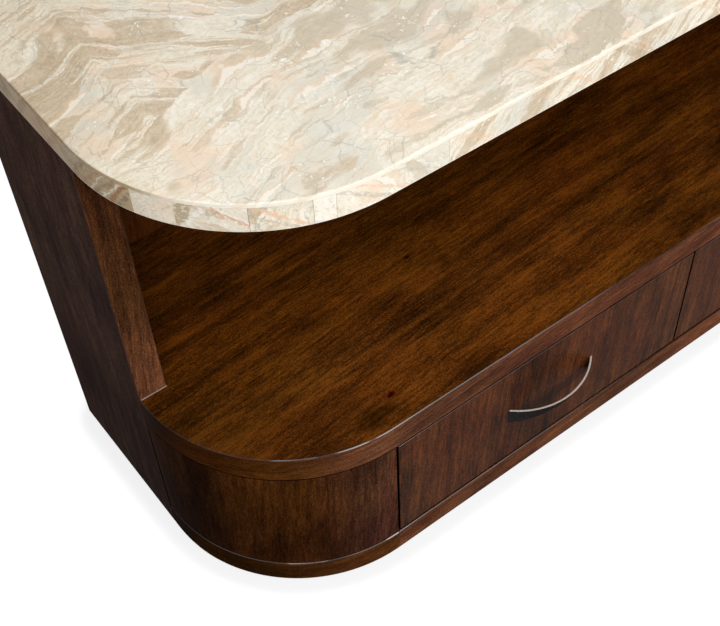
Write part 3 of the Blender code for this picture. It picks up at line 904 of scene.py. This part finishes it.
STRIP_4_MARKS = ((0.648, 0.0, 0.0200, STONE_WHITE, 0.75),)
STRIP_5_MARKS = (
    (0.600, -1.8, 0.0060, STONE_GREY, 0.55),
    (0.578, -1.8, 0.0050, STONE_PEACH, 0.6),
    (0.535, -1.9, 0.0035, STONE_GREY, 0.45),
)
FRONT_STRIP_MARKS = (
    (0.455, -1.8, 0.0060, STONE_PEACH, 0.5),
    (0.300, -1.6, 0.0050, STONE_PEACH, 0.6),
    (0.222, -1.4, 0.0110, STONE_TAUPE, 0.55),
    (0.206, -1.4, 0.0040, STONE_RUST, 0.45),
    (0.090, -1.7, 0.0050, STONE_PEACH, 0.5),
)
STRIP_STONES = [
    (strip_stone(f"edge_strip_stone_{number}", cut, turn, shade, marks),)
    for number, (cut, turn, shade, marks) in enumerate(
        (
            ((-0.30, 0.02), 30, SIDE_SHADE, SIDE_STRIP_MARKS),
            ((0.35, -0.10), -25, (1.02, 1.0, 0.96), STRIP_1_MARKS),
            ((-0.55, 0.12), 48, (1.0, 0.98, 0.96), STRIP_2_MARKS),
            ((0.10, 0.15), -40, (1.0, 0.99, 0.97), STRIP_3_MARKS),
            ((0.62, 0.05), 20, (1.03, 1.03, 1.02), STRIP_4_MARKS),
            ((0.22, -0.2), 55, EVEN, STRIP_5_MARKS),
            ((-0.10, 0.2), -30, EVEN, FRONT_STRIP_MARKS),
        )
    )
]
# Patches on the shelf: place, size, tint and share. The broad dark and pale patches make the shelf darker
# or lighter in places; the strongest small dark patch, near the front left, is a smudge
SHELF_FIGURES = (
    ((-0.500, -0.115), (0.150, 0.060), PALE_TINT, 0.28),
    ((-0.790, -0.080), (0.180, 0.220), DARK_PATCH_TINT, 0.42),
    ((-0.600, 0.185), (0.170, 0.100), PALE_TINT, 0.26),
    ((-0.220, 0.050), (0.260, 0.070), DARK_PATCH_TINT, 0.40),
    ((-0.352, -0.030), (0.055, 0.028), DARK_PATCH_TINT, 0.45),
    ((-0.585, -0.212), (0.040, 0.021), DARK_PATCH_TINT, 0.90),
    ((-0.548, -0.196), (0.020, 0.010), KNOT_RIM_TINT, 0.60),
    ((-0.548, -0.196), (0.0095, 0.0052), KNOT_TINT, 1.0),
    ((-0.376, -0.013), (0.0060, 0.0042), KNOT_TINT, 0.7),
)
# Painted light and shade on the shelf: lighter towards the back and in a band left of the middle
SHELF_PAINTED_LIGHT_AND_SHADE = (
    ("depth", -0.13, 0.02, (1.00, 1.00, 1.10), (1.14, 1.12, 1.00)),
    ("length", -0.68, -0.45, EVEN, (1.16, 1.17, 1.15)),
    ("length", -0.28, 0.0, EVEN, (0.86, 0.84, 0.78)),
)
# Painted shade and sheen on the shelf's front edge: darker round the corner towards the left, with a
# painted grey sheen in front and on the side
SHELF_EDGE_PAINTED_SHADE_AND_SHEEN = (
    ("run", 0.60, 0.74, (1.18, 1.22, 1.40), (1.02, 0.98, 0.40)),
    ("run", 0.70, 0.83, EVEN, (0.34, 0.31, 0.30)),
    ("run", 0.86, 0.94, EVEN, (0.42, 0.42, 0.80)),
)
# Painted shade and sheen on the corner panels: a painted grey-violet sheen at the drawer end, darker
# round towards the left end and lower down
CORNER_PAINTED_SHADE_AND_SHEEN = (
    ("run", 0.58, 0.72, (1.22, 1.52, 4.10), (0.94, 0.97, 1.08)),
    ("run", 0.80, 0.85, EVEN, (0.46, 0.50, 0.78)),
    ("height", 0.07, 0.22, (0.88, 0.88, 1.00), (1.15, 1.18, 1.10)),
    ("run", 0.88, 0.94, EVEN, (0.84, 0.78, 0.72)),
)
# Painted light and sheen on the straight base front: lighter and greyer than round the corners
BASE_PAINTED_LIGHT_AND_SHEEN = (("run", 0.46, 0.52, (1.24, 1.28, 1.40), EVEN),)
# Painted shade on the base corners: lighter at the front end, darker round towards the left
BASE_CORNER_PAINTED_SHADE = (
    ("run", 0.62, 0.81, (1.34, 1.38, 1.00), (0.44, 0.49, 0.22)),
    ("run", 0.87, 0.94, EVEN, (0.42, 0.36, 0.36)),
)
# Painted light and sheen on the end panels: darker towards the bottom, lighter and much greyer towards
# the top
END_PAINTED_LIGHT_AND_SHEEN = (("height", 0.15, 0.42, (1.15, 1.85, 3.90), (2.02, 3.25, 6.90)),)
# Painted shadow on the end panels' front edges: darker higher up, under the overhanging top
END_EDGE_PAINTED_SHADOW = (("height", 0.37, 0.50, (0.95, 0.95, 1.0), (0.64, 0.66, 0.55)),)
# The end panels' painted light and sheen, and painted shade in the seam beside the corner panel: very
# dark low down
END_JOINT_PAINTED_LIGHT_AND_SHADE = (*END_PAINTED_LIGHT_AND_SHEEN, ("height", 0.21, 0.28, (0.12, 0.10, 0.08), EVEN))
SHELF_WOOD = (
    *wood_pair(
        "shelf_wood", "length", VENEER_TONE, spread=1.3, seed=1.0, specular=0.008,
        drifts=SHELF_PAINTED_LIGHT_AND_SHADE, figures=SHELF_FIGURES, coat=1.62,
    ),
    wood(
        "shelf_edge_wood", "edge", SOLID_TONE, spread=1.05, seed=1.5, specular=0.0006,
        drifts=SHELF_EDGE_PAINTED_SHADE_AND_SHEEN,
    ),
)
BASE_WOOD = (
    *wood_pair(
        "base_wood", "edge", SOLID_TONE, spread=1.1, seed=2.0, specular=0.002,
        drifts=BASE_PAINTED_LIGHT_AND_SHEEN, coat=1.52,
    ),
    gap_shade_wood("base_top_edge", SOLID_TONE, 0.22),
)
BASE_CORNER_WOOD = (
    *wood_pair(
        "base_corner_wood", "edge", BASE_CORNER_SHADED_TONE, spread=0.9, seed=2.6, specular=0.0003,
        drifts=BASE_CORNER_PAINTED_SHADE, coat=1.85,
    ),
    gap_shade_wood("base_corner_top_edge", BASE_CORNER_SHADED_TONE, 0.22),
)
CORNER_WOOD = (
    *wood_pair(
        "corner_wood", "height", CORNER_SHADED_TONE, spread=1.1, seed=3.0, specular=0.0004, drifts=CORNER_PAINTED_SHADE_AND_SHEEN
    ),
    gap_shade_wood("corner_groove", CORNER_SHADED_TONE, 0.12),
)
DRAWER_FRONT_WOOD = (
    *wood_pair(
        "drawer_front_wood", "height", RED_VENEER_TONE, spread=1.35, seed=4.0, specular=0.013, coat=1.9
    ),
    gap_shade_wood("drawer_front_edge", RED_VENEER_TONE, 0.28),
    gap_shade_wood("drawer_front_end", RED_VENEER_TONE, 0.06),
)
END_WOOD = (
    *wood_pair("end_wood", "height", END_SHADED_TONE, spread=0.85, seed=5.0, specular=0.0002, drifts=END_PAINTED_LIGHT_AND_SHEEN),
    wood(
        "end_edge_wood", "height", SOLID_TONE, spread=1.15, seed=5.5, specular=0.0008,
        drifts=END_EDGE_PAINTED_SHADOW,
    ),
    wood(
        "end_joint_wood", "height", END_SHADED_TONE, spread=0.85, seed=5.0, specular=0.0,
        drifts=END_JOINT_PAINTED_LIGHT_AND_SHADE, roughness=0.5,
    ),
)
# The bead's rounded face is painted a pale plain colour: a painted highlight where the end panel meets
# the shelf
FOOT_BEAD_WOOD = (END_WOOD[0], plain("foot_bead_polish", (0.20, 0.155, 0.138), 0.4))
BACK_WOOD = wood_pair("back_wood", "height", BACK_TONE, spread=0.65, seed=6.0, specular=0.004)
UPRIGHT_PLYWOOD = plywood("upright_plywood", "length", "depth")
LEVEL_PLYWOOD = plywood("level_plywood", "height", "length")
SIDE_BOX_WOOD, BACK_BOX_WOOD = (
    (wood(name, grain, PALE_TONE, spread=0.25, seed=seed, specular=0.3, roughness=0.5),)
    for name, grain, seed in (("drawer_side_wood", "depth", 9.0), ("drawer_back_wood", "length", 10.0))
)
BOTTOM_BOX_WOOD = (plywood("drawer_bottom_plywood", "height", "length"),)
PULL_BRONZE = aged_bronze()
SLIDE_STEEL = brushed_steel()
GLIDE_PLASTIC = plain("glide_plastic", rgb(48, 44, 40), 0.5)


# Pieces


def make_slab():
    slab = block("polished_slab", SLAB_LOW, SLAB_HIGH, STONE)
    round_corners(slab, CORNER_RADIUS, CORNER_STEPS, lambda p: p.y < CORNER.y)
    round_corners(slab, BACK_CORNER_RADIUS, BACK_CORNER_STEPS, lambda p: p.y > BACK - CLOSE)
    ease(slab, SLAB_ARRIS, above(SLAB_HIGH.z))
    dress(slab, "stone_top", "case", "stone_slab")


def ease_strip(strip):
    ease(strip, STRIP_ARRIS, below(STRIP_LOW))
    ease(strip, SEAM_ARRIS, upright, 1)


def make_strips():
    """The stone's edge strips: a side strip, short ones round the corner, and one front and back."""
    runs = [CORNER.y - BACK, SIDE_STRIP_ROUND_RUN]
    for run in CORNER_STRIP_RUNS:
        runs.append(runs[-1] + run)
    for number, (start, end) in enumerate(zip(runs, runs[1:])):
        node = f"left_stone_edge_strip_{number}" if number else "left_stone_side_strip"
        start += JOINT_GAP / 2 if number else 0
        end -= JOINT_GAP / 2
        stone = STRIP_STONES[number]
        strip = edge_bar(f"{node}_cut", start, end, 0, STRIP_WIDTH, STRIP_LOW, STRIP_HIGH, stone)
        if not number:
            round_corners(strip, BACK_CORNER_RADIUS, BACK_CORNER_STEPS, at_back_corner)
        ease_strip(strip)
        dress_pair(strip, "stone_edge", node)
    for node in ("stone_front_strip", "stone_back_strip"):
        strip = block(f"{node}_cut", *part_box(node), STRIP_STONES[-1])
        ease_strip(strip)
        dress(strip, "stone_edge", "case", node)


def make_board(node, slot, finishes, body="case", arris=FINE_ARRIS):
    """A flat board with all its arrises eased."""
    board = block(f"{node}_board", *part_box(node), finishes)
    ease(board, arris)
    dress(board, slot, body, node)


def make_end_panels():
    """The end panels, with a small bead where each meets the shelf."""
    low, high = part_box("left_end_panel")
    panel = block("left_end_board", low, high, END_WOOD)
    round_corners(panel, BACK_CORNER_RADIUS, BACK_CORNER_STEPS, at_back_corner)
    # The front upright arrises take the joint wood, painted dark low down: painted shade in the seam
    # beside the corner panel
    ease(panel, END_ARRIS, lambda a, b: upright(a, b) and a.y < END_FRONT + CLOSE, slot=3)
    ease(panel, FINE_ARRIS, lambda a, b: not upright(a, b))
    # The front faces take the edge wood with its painted shadow under the top
    paint(panel, 2, lambda middle, normal: normal.y < -FACING)
    dress_pair(panel, "case_wood", "left_end_panel")
    bead = block(
        "left_foot_bead",
        (low.x + END_ARRIS, END_FRONT - FOOT_BEAD, SHELF_TOP),
        (high.x, END_FRONT, SHELF_TOP + FOOT_BEAD),
        FOOT_BEAD_WOOD,
    )

    def shows(a, b):
        return min(a.z, b.z) > SHELF_TOP + CLOSE and max(a.y, b.y) < END_FRONT - CLOSE

    # Its rounded face takes the pale painted highlight
    ease(bead, FOOT_BEAD * FOOT_BEAD_SHARE, shows, FOOT_BEAD_STEPS, slot=1)
    dress_pair(bead, "case_wood")


def make_shelf():
    """The shelf: rounded in front, with a narrower part that passes between the end panels."""
    low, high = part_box("shelf")
    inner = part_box("back_panel")[1].x
    shoulder = END_FRONT - JOINT_GAP
    shelf = block("shelf_board", low, (high.x, shoulder, high.z), SHELF_WOOD)
    round_corners(shelf, CORNER_RADIUS, CORNER_STEPS, lambda p: p.y < CORNER.y)
    for side in (-1, 1):
        edit_all(shelf)
        bpy.ops.mesh.bisect(plane_co=(side * inner, 0, 0), plane_no=(1, 0, 0))
        leave_edit()
    pick_faces(shelf, lambda middle, normal: normal.y > FACING and abs(middle.x) < inner)
    extrude((0, high.y - shoulder, 0))
    leave_edit()

    def shows(a, b):
        near, far = sorted((a.y, b.y))
        return near < shoulder - CLOSE and far < shoulder + CLOSE and above(high.z)(a, b)

    ease(shelf, SHELF_ARRIS, shows, 1, slot=1)
    ease(shelf, FINE_ARRIS, below(low.z))
    paint(shelf, 2, lambda middle, normal: abs(normal.z) < 1 - FACING)
    dress(shelf, "shelf_wood", "case", "shelf")


def make_corner_panels():
    """The curved panels below the shelf, painted dark as shade where they meet it and the end panels."""
    low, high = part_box("left_corner_panel")
    start = CORNER.y - high.y
    panel = edge_bar("left_corner_wall", start, CORNER_RUN, 0, CORNER_WALL, low.z, high.z, CORNER_WOOD)

    def outer_top(a, b):
        return above(high.z)(a, b) and outermost(a) and outermost(b)

    # The groove by the end panel, the arris under the shelf and the end by the drawer are painted dark:
    # painted shade in the seams and in the gap by the drawer
    ease(panel, GROOVE_ARRIS, lambda a, b: upright(a, b) and a.x < LEFT + CLOSE, slot=2)
    ease(panel, SHADOW_ARRIS, outer_top, slot=2)
    ease(panel, FINE_ARRIS)
    paint(panel, 2, lambda middle, normal: normal.x > FACING)
    dress_pair(panel, "case_wood", "left_corner_panel")


def make_base():
    """The base strip: curved corners that run out flush at the end panels, and a straight front."""
    low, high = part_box("left_base_corner")
    start = CORNER.y - high.y
    corner = edge_bar(
        "left_base_wall", start, CORNER_RUN, -BASE_PROUD, BASE_WALL, low.z, high.z, BASE_CORNER_WOOD
    )
    pick_edges(corner, lambda a, b: upright(a, b) and a.x < LEFT - BASE_PROUD / 2)
    bpy.ops.transform.translate(
        value=(BASE_PROUD, 0, 0),
        use_proportional_edit=True,
        proportional_edit_falloff="SMOOTH",
        proportional_size=FAIRING_REACH,
    )
    leave_edit()

    def ease_base(piece):
        ease(piece, SHELF_ARRIS, above(high.z), 1, slot=1)
        ease(piece, FINE_ARRIS, below(low.z))
        # The top faces are painted dark: painted shade under the corner panels and drawers
        paint(piece, 2, lambda middle, normal: normal.z > FACING)

    ease_base(corner)
    dress_pair(corner, "case_wood", "left_base_corner")
    front = block("base_front_board", *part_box("base_front"), BASE_WOOD)
    ease_base(front)
    dress(front, "case_wood", "case", "base_front")


def make_pulls():
    """A strap swept along its arc, cut flat at the drawer front, its lower edge set further in."""
    low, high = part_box("left_drawer_pull")
    foot = high.y
    rise = foot - low.y
    half_span = (high.x - low.x) / 2
    outer = (half_span**2 + rise**2) / (2 * rise)
    centre = Vector(((low.x + high.x) / 2, low.y + outer, (low.z + high.z) / 2))
    half_turn = math.acos((outer - rise) / outer) + PULL_OVERRUN
    middle = outer - PULL_THICKNESS / 2
    start = centre + Vector((-math.sin(half_turn), -math.cos(half_turn), 0)) * middle
    bpy.ops.mesh.primitive_plane_add(
        size=1, location=start, rotation=(math.pi / 2, 0, math.pi / 2 - half_turn)
    )
    bpy.context.object.scale = (PULL_THICKNESS, high.z - low.z, 1)
    pull = name_piece("left_drawer_pull_strap", (PULL_BRONZE,))
    edit_all(pull)
    bpy.ops.mesh.spin(steps=PULL_STEPS, angle=-2 * half_turn, center=centre, axis=(0, 0, 1))
    bpy.ops.mesh.select_all(action="SELECT")
    bpy.ops.mesh.bisect(plane_co=(0, foot, 0), plane_no=(0, 1, 0), use_fill=True, clear_outer=True)
    leave_edit()
    close_up(pull)
    pick_faces(pull, lambda middle, normal: normal.z < -FACING)
    bpy.ops.transform.resize(value=(1, PULL_LEAN, 1), center_override=(0, foot, 0))
    leave_edit()
    ease(pull, PULL_ARRIS)
    dress_pair(pull, "pull_metal", "left_drawer_pull", body="left_drawer")


def make_drawer_side(node, shoulder):
    """A drawer side with eased top edges and dovetail tails at its front."""
    low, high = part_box(node)
    side = block(f"{node}_board", (low.x, shoulder, low.z), high, SIDE_BOX_WOOD)
    count = max(2, round((high.z - low.z) / TAIL_PITCH))
    pitch = (high.z - low.z) / count
    root = pitch * TAIL_SHARE / 2
    middles = [low.z + pitch * (number + 0.5) for number in range(count)]
    for level in (middle + step for middle in middles for step in (-root, root)):
        edit_all(side)
        bpy.ops.mesh.bisect(plane_co=(0, 0, level), plane_no=(0, 0, 1))
        leave_edit()
    for middle in middles:

        def tail_root(place, normal):
            uncut = normal.y < -FACING and place.y > low.y + CLOSE
            return uncut and abs(place.z - middle) < root

        pick_faces(side, tail_root)
        extrude((0, low.y - shoulder, 0))
        flare = 1 + (shoulder - low.y) * TAIL_SLOPE / root
        bpy.ops.transform.resize(value=(1, 1, flare), center_override=(0, 0, middle))
        leave_edit()
    close_up(side)
    ease(side, FINE_ARRIS, lambda a, b: above(high.z)(a, b) and abs(a.y - b.y) > LONG_EDGE)
    return side


def make_drawers():
    """The left drawer's box and front, each piece copied to the right drawer."""
    low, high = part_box("left_drawer_front")
    front = block("left_drawer_front_board", low, high, DRAWER_FRONT_WOOD)

    def front_top(a, b):
        return above(high.z)(a, b) and max(a.y, b.y) < low.y + CLOSE

    ease(front, WOOD_ARRIS, front_top, slot=1)
    ease(front, FINE_ARRIS)
    # The top, bottom and end faces are painted dark: painted shade in the gaps round the front
    paint(front, 2, lambda middle, normal: abs(normal.z) > FACING)
    paint(front, 3, lambda middle, normal: abs(normal.x) > FACING)
    bottom = block("left_drawer_bottom_board", *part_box("left_drawer_bottom"), BOTTOM_BOX_WOOD)
    back = block("left_drawer_back_board", *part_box("left_drawer_back"), BACK_BOX_WOOD)
    ease(back, FINE_ARRIS)
    side_nodes = ("left_drawer_left_side", "left_drawer_right_side")
    sides = [make_drawer_side(node, high.y + JOINT_GAP) for node in side_nodes]
    for side in sides:
        carve(front, side)
        carve(side, bottom)
    carve(front, bottom)
    nodes = ("left_drawer_bottom", "left_drawer_back", *side_nodes)
    for piece, node in zip((bottom, back, *sides), nodes):
        dress_pair(piece, "drawer_wood", node, body="left_drawer")
    dress_pair(front, "case_wood", "left_drawer_front", body="left_drawer")


def make_screw():
    """A slotted round screw head that stands on the plane y = 0."""
    bpy.ops.mesh.primitive_cylinder_add(
        vertices=SCREW_SIDES,
        radius=SCREW_RADIUS,
        depth=SCREW_HEIGHT,
        location=(0, SCREW_HEIGHT / 2, 0),
        rotation=(math.pi / 2, 0, 0),
    )
    screw = name_piece("screw_head", (SLIDE_STEEL,))
    ease(screw, SCREW_HEIGHT * SCREW_DOME_SHARE, lambda a, b: min(a.y, b.y) > SCREW_HEIGHT - CLOSE)
    half_slot = SCREW_RADIUS / 8
    slot = block(
        "screw_slot",
        (-SCREW_RADIUS * 2, SCREW_HEIGHT * SCREW_SLOT_SHARE, -half_slot),
        (SCREW_RADIUS * 2, SCREW_HEIGHT * 2, half_slot),
        (SLIDE_STEEL,),
    )
    carve(screw, slot)
    bpy.data.objects.remove(slot)
    return screw


def make_screws():
    """Screws that hold the pulls, inside the drawers, and the back panel, behind the table."""
    screw = make_screw()
    low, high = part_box("left_drawer_pull")
    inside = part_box("left_drawer_front")[1].y
    inset = PULL_THICKNESS * 2
    for number, x in enumerate((low.x + inset, high.x - inset), 1):
        place = (x, inside, (low.z + high.z) / 2)
        pull_screw = moved_copy(screw, f"left_drawer_pull_screw_{number}", place)
        dress_pair(pull_screw, "slide_steel", body="left_drawer")
    low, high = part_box("back_panel")
    margin = BACK_SCREW_MARGIN
    for row, z in enumerate((low.z + margin, high.z - margin), 1):
        for column in range(BACK_SCREW_COLUMNS):
            share = column / (BACK_SCREW_COLUMNS - 1)
            place = (low.x + margin + (high.x - low.x - 2 * margin) * share, high.y, z)
            dress(moved_copy(screw, f"back_screw_{row}_{column + 1}", place), "slide_steel", "case")
    bpy.data.objects.remove(screw)


def make_glides():
    """A plastic disc with a rounded lower rim, copied to the four corners."""
    low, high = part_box("left_front_glide")
    bpy.ops.mesh.primitive_cylinder_add(
        vertices=GLIDE_SIDES, radius=(high.x - low.x) / 2, depth=high.z - low.z, location=(low + high) / 2
    )
    glide = name_piece("left_front_glide_disc", (GLIDE_PLASTIC,))
    ease(glide, (high.z - low.z) * GLIDE_RIM_SHARE, below(low.z))
    rear_low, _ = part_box("left_back_glide")
    rear = moved_copy(glide, "left_back_glide_disc", rear_low - low)
    dress_pair(glide, "glide_plastic", "left_front_glide")
    dress_pair(rear, "glide_plastic", "left_back_glide")


make_slab()
make_strips()
make_end_panels()
make_shelf()
make_corner_panels()
make_base()
for node in ("back_panel", "left_top_cleat", "right_top_cleat", "back_top_cleat"):
    make_board(node, "case_wood", BACK_WOOD)
make_drawers()
make_pulls()
make_screws()
make_glides()


def finish_for(node):
    """The finish of a CAD node that is shown as it is."""
    if "runner" in node:
        return SLIDE_STEEL
    return UPRIGHT_PLYWOOD if "partition" in node or "divider" in node else LEVEL_PLYWOOD


for node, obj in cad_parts.items():
    if not obj.hide_render:
        obj.data.materials.clear()
        obj.data.materials.append(finish_for(node))


# Stage, light and camera

FLOOR_SIZE = 60
FLOOR_SHADE_REACH = 0.050
SURROUND_LIGHT = 0.24


def seen_directly(nodes):
    """1 for what the camera sees, also by reflection or through glass, and 0 for light that bounces."""
    rays = nodes.node("LightPath").socket.node.outputs
    kinds = ("Is Camera Ray", "Is Glossy Ray", "Is Transmission Ray")
    camera, glossy, through = (Wire(nodes, rays[kind]) for kind in kinds)
    return camera.at_least(glossy.at_least(through))


def make_floor():
    """White paper that keeps a narrow pale shade where the table stands."""
    bpy.ops.mesh.primitive_plane_add(size=FLOOR_SIZE)
    floor = bpy.context.object
    floor.name = "studio_floor"
    paper = Finish("studio_floor")
    shade = paper.node("BsdfDiffuse", inputs={"Color": (0.22, 0.22, 0.22, 1)})
    white = paper.node("BsdfDiffuse", inputs={"Color": (0.12, 0.12, 0.12, 1)})
    open_share = paper.node("AmbientOcclusion", inputs={"Distance": FLOOR_SHADE_REACH}, output="AO")
    strength = paper.smooth(open_share, 0.72, 0.87) * 0.14 + 0.81
    glow = paper.node("Emission", inputs={"Color": (1, 1, 1, 1), "Strength": strength})
    lit = paper.node("AddShader", inputs={0: white, 1: glow})
    mixed = paper.node("MixShader", inputs={0: seen_directly(paper), 1: shade, 2: lit})
    paper.fill(paper.tree.nodes["Material Output"], {"Surface": mixed})
    floor.data.materials.append(paper.material)


def make_world():
    """White surroundings that light the table less than they show."""
    world = bpy.data.worlds.new("studio")
    bpy.context.scene.world = world
    world.use_nodes = True
    studio = Nodes(world.node_tree)
    strength = seen_directly(studio) * (1 - SURROUND_LIGHT) + SURROUND_LIGHT
    studio.fill(studio.tree.nodes["Background"], {"Color": (1, 1, 1, 1), "Strength": strength})


def add_softbox(name, place, target, size, power):
    """A rectangular light at a place, aimed at a target."""
    lamp = bpy.data.lights.new(name, "AREA")
    lamp.shape = "RECTANGLE"
    lamp.size, lamp.size_y = size
    lamp.energy = power
    box = bpy.data.objects.new(name, lamp)
    bpy.context.scene.collection.objects.link(box)
    box.location = place
    box.rotation_euler = (Vector(target) - Vector(place)).to_track_quat("-Z", "Y").to_euler()


def make_camera():
    """The camera, fitted to the photograph."""
    lens = bpy.data.cameras.new("photograph")
    lens.lens = 61.067
    lens.sensor_width = 36
    lens.shift_x = -0.0867
    lens.shift_y = 0.0272
    camera = bpy.data.objects.new("photograph", lens)
    bpy.context.scene.collection.objects.link(camera)
    camera.location = (-1.12405, -0.98253, 1.60661)
    camera.rotation_euler = [math.radians(angle) for angle in (39.802, 0, -38.724)]
    bpy.context.scene.camera = camera


make_floor()
make_world()
add_softbox("key_softbox", (-0.96, -1.34, 2.70), (-0.3, -0.1, 0.5), (2.0, 0.8), 35.5)
add_softbox("front_softbox", (0.62, -2.60, 1.62), (-0.2, 0, 0.4), (1.5, 1.0), 24)
add_softbox("left_softbox", (-1.90, -1.75, 1.55), (-0.6, -0.1, 0.5), (0.9, 0.9), 15.5)
add_softbox("corner_softbox", (-0.76, -2.55, 1.76), (-0.6, -0.1, 0.3), (0.8, 0.6), 8.3)
add_softbox("back_softbox", (1.2, 3.2, 2.4), (0, 0.27, 0.4), (1.6, 1.2), 14)
add_softbox("right_strip_softbox", (1.9, -1.95, 1.95), (-0.1, -0.24, 0.3), (0.6, 1.2), 14)
make_camera()
bpy.context.scene.view_settings.view_transform = "Standard"
